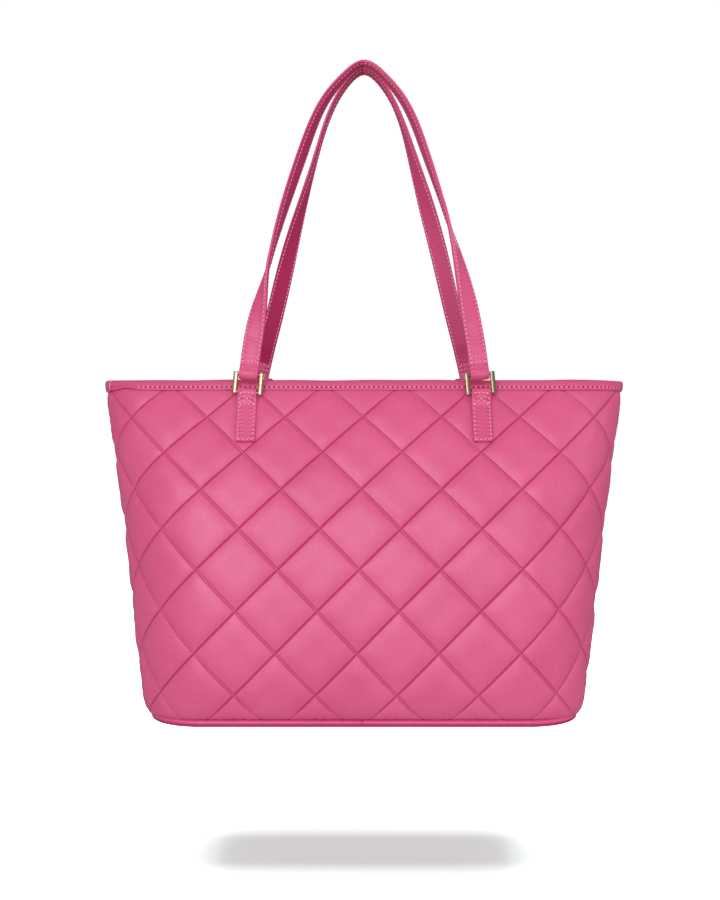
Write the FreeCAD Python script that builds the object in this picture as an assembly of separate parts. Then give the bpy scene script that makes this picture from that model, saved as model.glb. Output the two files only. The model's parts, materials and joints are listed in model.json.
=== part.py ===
import FreeCAD, Part
import math
import os

# A quilted tote bag, modelled standing on its base in millimetres.
# +X is the wearer's right as the front is looked at, -Y is the front, +Z is up,
# and the origin is the middle of the base on the surface that the bag stands on.
# The bag is stuffed out: its base is a rounded rectangle, its walls swell above the base and
# lean together at the mouth, and its two strap handles rise from rings and meet above the mouth.

Vector = FreeCAD.Vector
X_AXIS = Vector(1, 0, 0)
Y_AXIS = Vector(0, 1, 0)
Z_AXIS = Vector(0, 0, 1)

# Body form. Half the width grows steadily with height; the rest is read at stations.
BASE_HALF_WIDTH = 189.0
WIDTH_GAIN = 0.15  # growth of half the width per millimetre of height
STATION_HEIGHTS = (0, 15, 40, 80, 120, 160, 200, 240, 275, 296)
STATION_HALF_DEPTHS = (88.5, 96.5, 103, 106, 104, 97.5, 86.5, 69, 50.5, 39)
STATION_CORNERS = (46, 58, 70, 80, 86, 86, 79, 63, 45, 34)
LOFT_STEP = 14.8  # height between the sections of a wall

# Walls, from the outside in. A depth is how far a face lies inside the body's outer form.
PANEL_BOTTOM = 7.0
PANEL_TOP = 289.8
PANEL_THICKNESS = 2.6
SEAM_GAP = 0.1  # between the two panels, at the middle of each side
FACING_DEPTH = 3.7
FACING_THICKNESS = 1.1
FACING_BOTTOM = 250.0
LINING_DEPTH = 7.0
LINING_THICKNESS = 0.8
LINING_TOP = 258.0
LINING_LIFT_START = 228.0  # above here the lining closes up to the facing
LINING_TOP_DEPTH = 5.0
LINING_FLOOR = 4.8

# Binding that wraps the edge of the mouth.
RIM_TOP = 292.0
BINDING_BOTTOM = 283.5
BINDING_STAND = 2.2  # how far its outer leg stands out of the body
BINDING_INNER_DEPTH = 6.2
BINDING_PLAY = 0.15

# Base.
BASE_HALF_LENGTH = 186.0
BASE_HALF_DEPTH = 91.0
BASE_CORNER = 46.0
BASE_THICKNESS = 2.2
PIPING_RADIUS = 2.2
PIPING_HEIGHT = 4.6
BASE_INSET = 0.5  # of the panel's edge from the middle of the piping
BOARD_BOTTOM = 2.4
BOARD_THICKNESS = 2.0
BOARD_INSET = 8.0

# Tabs, rings and handle eyes.
RING_X = 101.6  # from the middle of the bag to the middle of each ring
STRAP_WIDTH = 16.4
RING_INNER_WIDTH = 19.6
RING_BAR_RADIUS = 1.6
RING_SIDE_WIDTH = 3.4
RING_SIDE_DEPTH = 3.2
RING_BAR_SPACING = 15.8
RING_END_OVERHANG = 1.8
RING_CHAMFER = 0.5
RING_LEAN = 8.0  # degrees that the rings lean in over the mouth
RING_STAND = 6.2  # from the panel to the middle of a ring's lower bar
RING_HEIGHT = 281.5
BORE_RADIUS = 1.9
TAB_EYE_RADIUS = 3.4
TAB_THICKNESS = 2.6
TAB_BOTTOM = 238.0
TAB_NECK_HEIGHT = 272.0
HANDLE_EYE_RADIUS = 3.8

# Handles. A route is half an arch, from the middle of the top down to the ring: (x, z).
HANDLE_TOP = 580.0
HANDLE_TOP_Y = 10.2  # the two handles lie side by side at the top
HANDLE_THICKNESS = 3.4
HANDLE_END_THICKNESS = 4.6  # the end is folded back on itself
HANDLE_FOLD_LENGTH = 26.0
FRONT_ARCH = ((0, 580), (18.5, 567.5), (35.5, 545), (54, 499.5), (77, 425), (92.5, 354), (98.6, 314))
BACK_ARCH = ((0, 580), (17, 567.5), (30.5, 545), (46, 500), (68, 425), (87, 350), (96.5, 314))
# Each leg lies flat to the bag up to its first height and stands edge-on at its second. Beyond
# that it turns on by the third, in degrees, before it comes back at the top of the arch.
FRONT_LEFT_TWIST = (330, 404, 22)
FRONT_RIGHT_TWIST = (330, 432, 12)
BACK_LEFT_TWIST = (330, 520, 0)
BACK_RIGHT_TWIST = (380, 560, 0)
HANDLE_SECTIONS = 44

# Magnetic snap on the facing.
SNAP_HEIGHT = 268.0
SNAP_RADIUS = 8.5
SNAP_THICKNESS = 2.6
SNAP_NUB_RADIUS = 3.2
SNAP_NUB_LENGTH = 2.0
SNAP_POST_RADIUS = 1.5
SNAP_CLEARANCE = 0.2
SNAP_STAND = 0.4  # from the facing to the disc
WASHER_GAP = 0.25  # from the back of the facing to its washer
WASHER_RADIUS = 7.5
WASHER_PLAY = 0.1
WASHER_THICKNESS = 0.5

# Zipped pocket on the back lining, and the open pocket on the front lining.
ZIP_HEIGHT = 203.0
ZIP_HALF_LENGTH = 90.0
ZIP_WINDOW_HALF_HEIGHT = 5.5
TAPE_HEIGHT = 12.0
TAPE_THICKNESS = 0.6
TAPE_FACE = LINING_THICKNESS + 0.3  # from the lining's inner face to the tapes' near face
TAPE_OVERHANG = 5.0  # of the tapes beyond each end of the window
COIL_HEIGHT = 2.5
COIL_THICKNESS = 1.5
CHAIN_GAP = 1.4  # between the two coils, where the slider's neck runs
SLIDER_LENGTH = 11.0
SLIDER_HEIGHT = 8.6
SLIDER_PLATE = 1.1
SLIDER_CHAMFER = 0.35
SLIDER_PLAY = 0.25  # between each plate and the coils or tapes
SLIDER_NECK_INSET = 0.6  # from the slider's end to its neck
SLIDER_NECK_LENGTH = 3.4
SLIDER_NECK_PLAY = 0.2  # between the neck and each coil
SLIDER_TRAVEL = 160.0
JOIN = 0.5  # overlap of two joined pieces of the slider
BAIL_HALF_WIDTH = 1.5
BAIL_HALF_HEIGHT = 2.6
BAIL_STAND = 2.6
BAIL_EYE_HALF_HEIGHT = 1.6
BAIL_EYE_DEPTH = 1.7
PULL_LENGTH = 24.0
PULL_WIDTH = 6.0
PULL_THICKNESS = 1.2
PULL_PIN_RADIUS = 0.6
PULL_FRAME_WIDTH = 1.2  # of each side of the frame round the bail
PULL_FRAME_LENGTH = 5.0
PULL_BLADE_START = 4.2
STOP_INNER = 1.2  # from a window's end to the near and far face of each stop
STOP_OUTER = 0.3
STOP_GAP = 0.05  # between a stop and the tapes
COIL_INSET = 1.5
COIL_CHAMFER = 0.4
TAPE_EDGE = 0.4  # from a coil's inner edge to its tape's edge
POUCH_DROP = 105.0
POUCH_RISE = 12.0
POUCH_OVERHANG = 8.0  # beyond each end of the window
POUCH_DEPTH = 3.9
POUCH_THICKNESS = 1.2
SLIP_HALF_WIDTH = 80.0
SLIP_BOTTOM = 95.0
SLIP_TOP = 200.0
SLIP_GAP = 0.2  # from the lining
SLIP_THICKNESS = 0.8
SLIP_HEM_HEIGHT = 8.0
SLIP_HEM_THICKNESS = 1.4
SLIP_HEM_GAP = 0.1

FAR = 400.0  # half the side of a cutting block, larger than the bag


def between(height, values):
    """Catmull-Rom curve through the stations' values, read at one height."""
    heights = STATION_HEIGHTS
    last = len(heights) - 1
    i = 0
    while i < last - 1 and height > heights[i + 1]:
        i += 1

    def slope(k):
        low, high = max(k - 1, 0), min(k + 1, last)
        return (values[high] - values[low]) / (heights[high] - heights[low])

    span = heights[i + 1] - heights[i]
    t = (height - heights[i]) / span
    return (
        (2 * t**3 - 3 * t**2 + 1) * values[i]
        + (t**3 - 2 * t**2 + t) * span * slope(i)
        + (3 * t**2 - 2 * t**3) * values[i + 1]
        + (t**3 - t**2) * span * slope(i + 1)
    )


def half_depth(height):
    return between(height, STATION_HALF_DEPTHS)


def lean(height):
    """Degrees that the front and back walls lean in towards each other at one height."""
    step = 2.0
    fall = half_depth(height - step) - half_depth(height + step)
    return math.degrees(math.atan(fall / (2 * step)))


def block(x0, x1, y0, y1, z0, z1):
    return Part.makeBox(x1 - x0, y1 - y0, z1 - z0, Vector(x0, y0, z0))


def rod(radius, x0, x1, y, z):
    """Cylinder along X."""
    return Part.makeCylinder(radius, x1 - x0, Vector(x0, y, z), X_AXIS)


def smooth(t):
    t = min(max(t, 0.0), 1.0)
    return t * t * (3 - 2 * t)


def rounded_rectangle(half_x, half_y, corner, z):
    """Closed wire of four lines and four arcs."""
    diagonal = corner * math.sqrt(0.5)
    inner_x, inner_y = half_x - corner, half_y - corner
    edges = []
    for sx, sy in ((1, -1), (1, 1), (-1, 1), (-1, -1)):
        if sx * sy < 0:
            start = Vector(sx * inner_x, sy * half_y, z)
            end = Vector(sx * half_x, sy * inner_y, z)
            straight_to = Vector(sx * half_x, -sy * inner_y, z)
        else:
            start = Vector(sx * half_x, sy * inner_y, z)
            end = Vector(sx * inner_x, sy * half_y, z)
            straight_to = Vector(-sx * inner_x, sy * half_y, z)
        middle = Vector(sx * (inner_x + diagonal), sy * (inner_y + diagonal), z)
        edges.append(Part.Arc(start, middle, end).toShape())
        edges.append(Part.LineSegment(end, straight_to).toShape())
    return Part.Wire(edges)


def body_outline(z, depth):
    """The body's section at one height, that far inside the outer form."""
    return rounded_rectangle(
        BASE_HALF_WIDTH + WIDTH_GAIN * z - depth,
        half_depth(z) - depth,
        between(z, STATION_CORNERS) - depth,
        z,
    )


def body(depth, low, high):
    """Solid form of the body between two heights. The depth is a number, or a function of height."""
    at = depth if callable(depth) else lambda z: depth
    steps = round((STATION_HEIGHTS[-1] - STATION_HEIGHTS[0]) / LOFT_STEP)
    heights = [STATION_HEIGHTS[-1] * i / steps for i in range(steps + 1)]
    form = Part.makeLoft([body_outline(z, at(z)) for z in heights], True, False)
    return form.common(block(-FAR, FAR, -FAR, FAR, low, high))


def shell(outer_depth, inner_depth, low, high):
    """Thin wall all round the body, open at its top and bottom."""
    return body(outer_depth, low, high).cut(body(inner_depth, low - 1, high + 1))


def on_wall(shape, height, depth, side):
    """Moves a shape made about the origin onto the front (side -1) or back (side 1) wall.

    The shape's own +Y points out of the bag through the wall and its +Z runs up the wall.
    """
    placed = shape.copy()
    if side < 0:
        placed.rotate(Vector(0, 0, 0), Z_AXIS, 180)
    placed.rotate(Vector(0, 0, 0), X_AXIS, side * lean(height))
    placed.translate(Vector(0, side * (half_depth(height) - depth), height))
    return placed


def mirror_x(shape):
    return shape.mirror(Vector(0, 0, 0), X_AXIS)


def mirror_y(shape):
    return shape.mirror(Vector(0, 0, 0), Y_AXIS)


# ---- outer body -------------------------------------------------------------------------------


def outer_panels():
    """Front and back panel. Each wraps half way round both sides."""
    wall = shell(0, PANEL_THICKNESS, PANEL_BOTTOM, PANEL_TOP)
    gap = SEAM_GAP / 2
    return (
        wall.common(block(-FAR, FAR, -FAR, -gap, 0, FAR)),
        wall.common(block(-FAR, FAR, gap, FAR, 0, FAR)),
    )


def base_plate(inset, low, thickness):
    wire = rounded_rectangle(
        BASE_HALF_LENGTH - inset, BASE_HALF_DEPTH - inset, BASE_CORNER - inset, low
    )
    return Part.Face(wire).extrude(Vector(0, 0, thickness))


def base_piping():
    """Round cord in the seam between the walls and the base."""
    path = rounded_rectangle(BASE_HALF_LENGTH, BASE_HALF_DEPTH, BASE_CORNER, PIPING_HEIGHT)
    start = path.Edges[0].valueAt(path.Edges[0].FirstParameter)
    direction = path.Edges[0].tangentAt(path.Edges[0].FirstParameter)
    section = Part.Wire(Part.makeCircle(PIPING_RADIUS, start, direction))
    return path.makePipeShell([section], True, False)


def rim_binding():
    """Strip folded over the top edges of the panels and the facing."""
    outside = body(-BINDING_STAND, BINDING_BOTTOM, RIM_TOP)
    mouth = body(BINDING_INNER_DEPTH, BINDING_BOTTOM - 1, RIM_TOP + 1)
    edge_low = BINDING_BOTTOM - 1
    edge_high = PANEL_TOP + BINDING_PLAY
    facing_inner = FACING_DEPTH + FACING_THICKNESS
    edge = shell(-BINDING_PLAY, facing_inner + BINDING_PLAY, edge_low, edge_high)
    return outside.cut(mouth).cut(edge)


# ---- tabs, rings and handles ------------------------------------------------------------------


def ring_axis_y():
    """Distance from the middle plane to a ring's lower bar."""
    return half_depth(RING_HEIGHT) + RING_STAND


def handle_pivot():
    """(y, z) of the front rings' upper bars."""
    angle = math.radians(RING_LEAN)
    y = -ring_axis_y() + RING_BAR_SPACING * math.sin(angle)
    return y, RING_HEIGHT + RING_BAR_SPACING * math.cos(angle)


def tab():
    """Front right tab: a strip sewn to the panel, folded round the ring's lower bar."""
    x0, x1 = RING_X - STRAP_WIDTH / 2, RING_X + STRAP_WIDTH / 2
    y, z = -ring_axis_y(), RING_HEIGHT
    plies = body(-TAB_THICKNESS, TAB_BOTTOM, TAB_NECK_HEIGHT + 2).common(
        block(x0, x1, -FAR, 0, TAB_BOTTOM, TAB_NECK_HEIGHT + 2)
    )
    wall_y = -half_depth(TAB_NECK_HEIGHT)
    profile = [
        Vector(x0, y - TAB_EYE_RADIUS, z),
        Vector(x0, y + TAB_EYE_RADIUS, z),
        Vector(x0, wall_y, TAB_NECK_HEIGHT + 4),
        Vector(x0, wall_y, TAB_NECK_HEIGHT - 2),
        Vector(x0, wall_y - TAB_THICKNESS, TAB_NECK_HEIGHT - 2),
    ]
    neck = Part.Face(Part.makePolygon(profile + profile[:1])).extrude(Vector(x1 - x0, 0, 0))
    eye = rod(TAB_EYE_RADIUS, x0, x1, y, z)
    bore = rod(BORE_RADIUS, x0 - 1, x1 + 1, y, z)
    wall = body(-BINDING_PLAY, TAB_BOTTOM - 5, BINDING_BOTTOM)
    return eye.fuse(neck).fuse(plies).cut(bore).cut(wall).removeSplitter()


def ring():
    """Front right ring: two flat sides joined by two round bars."""
    y, z = -ring_axis_y(), RING_HEIGHT
    half = RING_INNER_WIDTH / 2
    shape = rod(RING_BAR_RADIUS, -half, half, 0, 0)
    shape = shape.fuse(rod(RING_BAR_RADIUS, -half, half, 0, RING_BAR_SPACING))
    for x0 in (-half - RING_SIDE_WIDTH, half):
        side = block(
            x0,
            x0 + RING_SIDE_WIDTH,
            -RING_SIDE_DEPTH / 2,
            RING_SIDE_DEPTH / 2,
            -RING_END_OVERHANG,
            RING_BAR_SPACING + RING_END_OVERHANG,
        )
        shape = shape.fuse(side.makeChamfer(RING_CHAMFER, side.Edges))
    shape.rotate(Vector(0, 0, 0), X_AXIS, -RING_LEAN)
    shape.translate(Vector(RING_X, y, z))
    return shape


def twist_angle(z, leg):
    """Turn of the strap about its own line, in degrees: 90 flat to the bag, 0 across it."""
    flat, edge_on, overturn = leg
    if z < edge_on:
        return 90 * (1 - smooth((z - flat) / (edge_on - flat)))
    return -overturn * math.sin(math.pi * (z - edge_on) / (HANDLE_TOP - edge_on))


def handle_section(point, tangent, width, thickness, left_leg, right_leg):
    """One cross-section of a front handle, turned as its leg says at that height."""
    across = (Y_AXIS - tangent * Y_AXIS.dot(tangent)).normalize()
    outward = tangent.cross(across)
    turn = math.radians(twist_angle(point.z, left_leg if point.x < 0 else right_leg))
    normal = outward * math.cos(turn) - across * math.sin(turn)
    breadth = tangent.cross(normal)
    low_end = handle_pivot()[1]
    loose = smooth((point.z - low_end) / HANDLE_FOLD_LENGTH)
    if loose < 1:
        # The end is cut square to the ring's bar, so the section is level there.
        level = X_AXIS if breadth.x > 0 else -X_AXIS
        breadth = (level * (1 - loose) + breadth * loose).normalize()
    half_breadth, half_thickness = breadth * (width / 2), normal * (thickness / 2)
    corners = [
        point - half_breadth - half_thickness,
        point + half_breadth - half_thickness,
        point + half_breadth + half_thickness,
        point - half_breadth + half_thickness,
    ]
    return Part.makePolygon(corners + corners[:1])


def handle(arch, left_leg, right_leg):
    """A front handle: a twisted strap whose two ends are folded round the rings' upper bars."""
    pivot_y, pivot_z = handle_pivot()
    rise = HANDLE_TOP - pivot_z

    def at(x, z):
        return Vector(x, pivot_y + (-HANDLE_TOP_Y - pivot_y) * (z - pivot_z) / rise, z)

    half = [at(x, z) for x, z in arch] + [at(RING_X, pivot_z)]
    left = [Vector(-p.x, p.y, p.z) for p in half[:0:-1]]
    line = Part.BSplineCurve()
    line.interpolate(left + half)
    first, last = line.FirstParameter, line.LastParameter
    sections = []
    for i in range(HANDLE_SECTIONS + 1):
        t = first + (last - first) * i / HANDLE_SECTIONS
        point = line.value(t)
        folded = 1 - smooth((point.z - pivot_z) / HANDLE_FOLD_LENGTH)
        thickness = HANDLE_THICKNESS + (HANDLE_END_THICKNESS - HANDLE_THICKNESS) * folded
        sections.append(
            handle_section(
                point, Vector(*line.tangent(t)[0]), STRAP_WIDTH, thickness, left_leg, right_leg
            )
        )
    strap = Part.makeLoft(sections, True, False)
    for x in (-RING_X, RING_X):
        x0, x1 = x - STRAP_WIDTH / 2, x + STRAP_WIDTH / 2
        strap = strap.fuse(rod(HANDLE_EYE_RADIUS, x0, x1, pivot_y, pivot_z))
    for x in (-RING_X, RING_X):
        strap = strap.cut(rod(BORE_RADIUS, x - STRAP_WIDTH, x + STRAP_WIDTH, pivot_y, pivot_z))
    return strap


# ---- inside -----------------------------------------------------------------------------------


def lining_depth(z):
    closing = smooth((z - LINING_LIFT_START) / (LINING_TOP - LINING_LIFT_START))
    return LINING_DEPTH + (LINING_TOP_DEPTH - LINING_DEPTH) * closing


def lining():
    """Cloth bag hung inside the walls, with a window for the zipped pocket."""
    cloth = body(lining_depth, LINING_FLOOR, LINING_TOP).cut(
        body(
            lambda z: lining_depth(z) + LINING_THICKNESS,
            LINING_FLOOR + LINING_THICKNESS,
            LINING_TOP + 1,
        )
    )
    half_height = ZIP_WINDOW_HALF_HEIGHT
    window = block(-ZIP_HALF_LENGTH, ZIP_HALF_LENGTH, -4, 4, -half_height, half_height)
    return cloth.cut(on_wall(window, ZIP_HEIGHT, LINING_DEPTH, 1))


def snap_hole(side):
    drill = Part.makeCylinder(SNAP_POST_RADIUS + SNAP_CLEARANCE, 12, Vector(0, -6, 0), Y_AXIS)
    return on_wall(drill, SNAP_HEIGHT, FACING_DEPTH + FACING_THICKNESS, side)


def facing():
    """Band of the outer material inside the mouth."""
    inner = FACING_DEPTH + FACING_THICKNESS
    band = shell(FACING_DEPTH, inner, FACING_BOTTOM, PANEL_TOP)
    return band.cut(snap_hole(-1)).cut(snap_hole(1))


def snap_half(side, is_stud):
    """One half of the magnetic snap, with the post that holds it to its washer."""
    face = -(SNAP_THICKNESS + SNAP_STAND)
    disc = Part.makeCylinder(SNAP_RADIUS, SNAP_THICKNESS, Vector(0, face, 0), Y_AXIS)
    post_length = SNAP_STAND + FACING_THICKNESS + WASHER_GAP + WASHER_THICKNESS
    post = Part.makeCylinder(SNAP_POST_RADIUS, post_length, Vector(0, -SNAP_STAND, 0), Y_AXIS)
    shape = disc.fuse(post)
    nub_face = Vector(0, face - SNAP_NUB_LENGTH, 0)
    if is_stud:
        shape = shape.fuse(Part.makeCylinder(SNAP_NUB_RADIUS, SNAP_NUB_LENGTH, nub_face, Y_AXIS))
    else:
        socket = SNAP_NUB_RADIUS + SNAP_CLEARANCE
        depth = SNAP_NUB_LENGTH
        shape = shape.cut(Part.makeCylinder(socket, depth, Vector(0, face, 0), Y_AXIS))
    return on_wall(shape, SNAP_HEIGHT, FACING_DEPTH + FACING_THICKNESS, side)


def snap_washer(side):
    start = Vector(0, FACING_THICKNESS + WASHER_GAP, 0)
    plate = Part.makeCylinder(WASHER_RADIUS, WASHER_THICKNESS, start, Y_AXIS)
    hole = Part.makeCylinder(SNAP_POST_RADIUS + WASHER_PLAY, 6, Vector(0, -1, 0), Y_AXIS)
    return on_wall(plate.cut(hole), SNAP_HEIGHT, FACING_DEPTH + FACING_THICKNESS, side)


def on_zip(shape):
    return on_wall(shape, ZIP_HEIGHT, LINING_DEPTH + LINING_THICKNESS, 1)


def zip_tape(up):
    """Cloth tape behind the lining. The sign says above or below the coils' gap."""
    near, far = CHAIN_GAP / 2 + TAPE_EDGE, CHAIN_GAP / 2 + TAPE_HEIGHT
    low, high = sorted((up * near, up * far))
    half = ZIP_HALF_LENGTH + TAPE_OVERHANG
    return on_zip(block(-half, half, TAPE_FACE, TAPE_FACE + TAPE_THICKNESS, low, high))


def zip_coil(up):
    """Row of teeth along a tape's edge, as one bar."""
    low, high = sorted((up * CHAIN_GAP / 2, up * (CHAIN_GAP / 2 + COIL_HEIGHT)))
    half = ZIP_HALF_LENGTH - COIL_INSET
    near = TAPE_FACE - COIL_THICKNESS
    coil = block(-half, half, near, TAPE_FACE, low, high)
    near_edges = [edge for edge in coil.Edges if abs(edge.BoundBox.YMin - near) < 1e-6]
    long_edges = [edge for edge in near_edges if edge.Length > half]
    return on_zip(coil.makeChamfer(COIL_CHAMFER, long_edges))


def slider_x():
    """Where the slider rests, near the closed end of the zip."""
    return -SLIDER_TRAVEL / 2


def slider_face():
    """Near face of the slider's inner plate, where the bail stands."""
    return TAPE_FACE - COIL_THICKNESS - SLIDER_PLAY - SLIDER_PLATE


def zip_slider():
    """Two plates joined by a neck that runs between the coils, with a bail for the pull."""
    half = SLIDER_LENGTH / 2
    tall = SLIDER_HEIGHT / 2
    face = slider_face()
    front_back = face + SLIDER_PLATE
    back_face = TAPE_FACE + TAPE_THICKNESS + SLIDER_PLAY
    front = block(-half, half, face, front_back, -tall, tall)
    front = front.makeChamfer(SLIDER_CHAMFER, front.Edges)
    back = block(-half, half, back_face, back_face + SLIDER_PLATE, -tall + 1, tall - 1)
    neck_half = CHAIN_GAP / 2 - SLIDER_NECK_PLAY
    neck_start = -half + SLIDER_NECK_INSET
    neck_end = neck_start + SLIDER_NECK_LENGTH
    neck = block(neck_start, neck_end, front_back - JOIN, back_face + JOIN, -neck_half, neck_half)
    wide, high = BAIL_HALF_WIDTH, BAIL_HALF_HEIGHT
    bail = block(-wide, wide, face - BAIL_STAND, face + JOIN, -high, high)
    eye_half = BAIL_EYE_HALF_HEIGHT
    eye = block(-2 * wide, 2 * wide, face - BAIL_EYE_DEPTH, face, -eye_half, eye_half)
    shape = front.fuse(neck).fuse(back).fuse(bail.cut(eye))
    shape.translate(Vector(slider_x(), 0, 0))
    return on_zip(shape)


def pull_pivot_local():
    """The pull's pin, in the middle of the bail's eye."""
    return Vector(slider_x(), slider_face() - BAIL_EYE_DEPTH / 2, 0)


def zip_pull():
    """Flat pull that hangs from the bail: a frame round the bail, then a blade."""
    pivot = pull_pivot_local()
    half = PULL_WIDTH / 2
    shape = rod(PULL_PIN_RADIUS, -half, half, 0, 0)
    thin = PULL_THICKNESS / 2
    top = PULL_PIN_RADIUS / 2
    for x0 in (-half, half - PULL_FRAME_WIDTH):
        side = block(x0, x0 + PULL_FRAME_WIDTH, -thin, thin, -PULL_FRAME_LENGTH, top)
        shape = shape.fuse(side)
    shape = shape.fuse(block(-half, half, -thin, thin, -PULL_LENGTH, -PULL_BLADE_START))
    placed = on_zip(shape.translated(pivot))
    # It hangs straight down rather than along the leaning wall.
    placed.rotate(pull_pivot(), X_AXIS, -lean(ZIP_HEIGHT))
    return placed


def pull_pivot():
    """The pull's pin in the bag's own frame."""
    return on_zip(Part.Vertex(pull_pivot_local())).Vertexes[0].Point


def zip_stops():
    """Metal stops that end the slider's travel."""
    stops = []
    near, far = TAPE_FACE - COIL_THICKNESS, TAPE_FACE - STOP_GAP
    half_height = CHAIN_GAP / 2 + COIL_HEIGHT
    inner, outer = ZIP_HALF_LENGTH - STOP_INNER, ZIP_HALF_LENGTH - STOP_OUTER
    for low, high in ((-outer, -inner), (inner, outer)):
        stops.append(block(low, high, near, far, -half_height, half_height))
    return on_zip(Part.makeCompound(stops))


def pocket_pouch():
    """Flat cloth pouch that hangs behind the zip, between the lining and the back panel."""
    half = ZIP_HALF_LENGTH + POUCH_OVERHANG
    low, high = ZIP_HEIGHT - POUCH_DROP, ZIP_HEIGHT + POUCH_RISE
    wall = shell(POUCH_DEPTH - POUCH_THICKNESS, POUCH_DEPTH, low, high)
    return wall.common(block(-half, half, 0, FAR, 0, FAR))


def slip_pocket():
    """Open pocket on the front lining: a cloth panel and the hem along its top."""
    depth = LINING_DEPTH + LINING_THICKNESS + SLIP_GAP
    wide = block(-SLIP_HALF_WIDTH, SLIP_HALF_WIDTH, -FAR, 0, 0, FAR)
    panel = shell(depth, depth + SLIP_THICKNESS, SLIP_BOTTOM, SLIP_TOP)
    hem_low, hem_high = SLIP_TOP + SLIP_HEM_GAP, SLIP_TOP + SLIP_HEM_HEIGHT
    hem = shell(depth, depth + SLIP_HEM_THICKNESS, hem_low, hem_high)
    return panel.common(wide), hem.common(wide)


def main():
    parts = {}
    parts["front_panel"], parts["back_panel"] = outer_panels()
    parts["base_panel"] = base_plate(BASE_INSET, 0, BASE_THICKNESS)
    parts["base_board"] = base_plate(BOARD_INSET, BOARD_BOTTOM, BOARD_THICKNESS)
    parts["base_piping"] = base_piping()
    parts["rim_binding"] = rim_binding()

    right_tab, right_ring = tab(), ring()
    for piece, shape in (("tab", right_tab), ("ring", right_ring)):
        parts[f"front_right_{piece}"] = shape
        parts[f"front_left_{piece}"] = mirror_x(shape)
        parts[f"back_right_{piece}"] = mirror_y(shape)
        parts[f"back_left_{piece}"] = mirror_y(mirror_x(shape))
    parts["front_handle"] = handle(FRONT_ARCH, FRONT_LEFT_TWIST, FRONT_RIGHT_TWIST)
    parts["back_handle"] = mirror_y(handle(BACK_ARCH, BACK_LEFT_TWIST, BACK_RIGHT_TWIST))

    parts["lining"] = lining()
    parts["mouth_facing"] = facing()
    parts["snap_stud"] = snap_half(-1, True)
    parts["snap_socket"] = snap_half(1, False)
    parts["snap_stud_washer"] = snap_washer(-1)
    parts["snap_socket_washer"] = snap_washer(1)
    parts["pocket_pouch"] = pocket_pouch()
    parts["pocket_zip_upper_tape"] = zip_tape(1)
    parts["pocket_zip_lower_tape"] = zip_tape(-1)
    parts["pocket_zip_upper_coil"] = zip_coil(1)
    parts["pocket_zip_lower_coil"] = zip_coil(-1)
    parts["pocket_zip_stops"] = zip_stops()
    parts["pocket_zip_slider"] = zip_slider()
    parts["pocket_zip_pull"] = zip_pull()
    parts["slip_pocket_panel"], parts["slip_pocket_hem"] = slip_pocket()

    os.makedirs("parts", exist_ok=True)
    for name, shape in parts.items():
        shape.exportStep(f"parts/{name}.step")

main()
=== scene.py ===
import json
import math

import bmesh
import bpy
import numpy as np
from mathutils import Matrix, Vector

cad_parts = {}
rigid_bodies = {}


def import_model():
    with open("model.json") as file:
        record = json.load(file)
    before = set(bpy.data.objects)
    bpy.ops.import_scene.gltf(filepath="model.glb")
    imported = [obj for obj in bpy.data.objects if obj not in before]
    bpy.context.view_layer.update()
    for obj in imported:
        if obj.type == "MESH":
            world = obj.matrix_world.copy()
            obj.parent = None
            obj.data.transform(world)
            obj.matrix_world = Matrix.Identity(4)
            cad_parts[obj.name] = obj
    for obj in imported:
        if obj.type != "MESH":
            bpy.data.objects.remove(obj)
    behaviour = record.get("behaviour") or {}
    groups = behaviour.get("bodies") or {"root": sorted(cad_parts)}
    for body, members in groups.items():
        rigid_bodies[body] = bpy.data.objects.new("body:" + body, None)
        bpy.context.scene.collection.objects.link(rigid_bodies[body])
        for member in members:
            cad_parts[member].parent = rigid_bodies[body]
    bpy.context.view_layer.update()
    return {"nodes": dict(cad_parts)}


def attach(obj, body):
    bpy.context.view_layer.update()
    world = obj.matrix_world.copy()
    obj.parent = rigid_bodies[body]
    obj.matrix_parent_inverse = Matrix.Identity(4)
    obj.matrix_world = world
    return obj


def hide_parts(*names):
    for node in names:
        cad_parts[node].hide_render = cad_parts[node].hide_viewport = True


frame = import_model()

# The quilted tote's visual model. Shapes are worked out in millimetres, in the CAD model's frame,
# and turned into metres where a mesh is made. -Y is the front and +Z is up.
MM = 0.001

# Form of the body, as the CAD model has it.
BASE_HALF_WIDTH = 189.0
WIDTH_GAIN = 0.15
STATION_HEIGHTS = (0, 15, 40, 80, 120, 160, 200, 240, 275, 296)
STATION_HALF_DEPTHS = (88.5, 96.5, 103, 106, 104, 97.5, 86.5, 69, 50.5, 39)
STATION_CORNERS = (46, 58, 70, 80, 86, 86, 79, 63, 45, 34)
PANEL_BOTTOM = 4.2
PANEL_TOP = 289.5
PANEL_THICKNESS = 2.2
BINDING_BOTTOM = 283.5
BASE_HALF_LENGTH = 183.5
BASE_HALF_DEPTH = 91.6
BASE_CORNER = 46.0
PIPING_RADIUS = 2.2
PIPING_HEIGHT = 3.9

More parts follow.
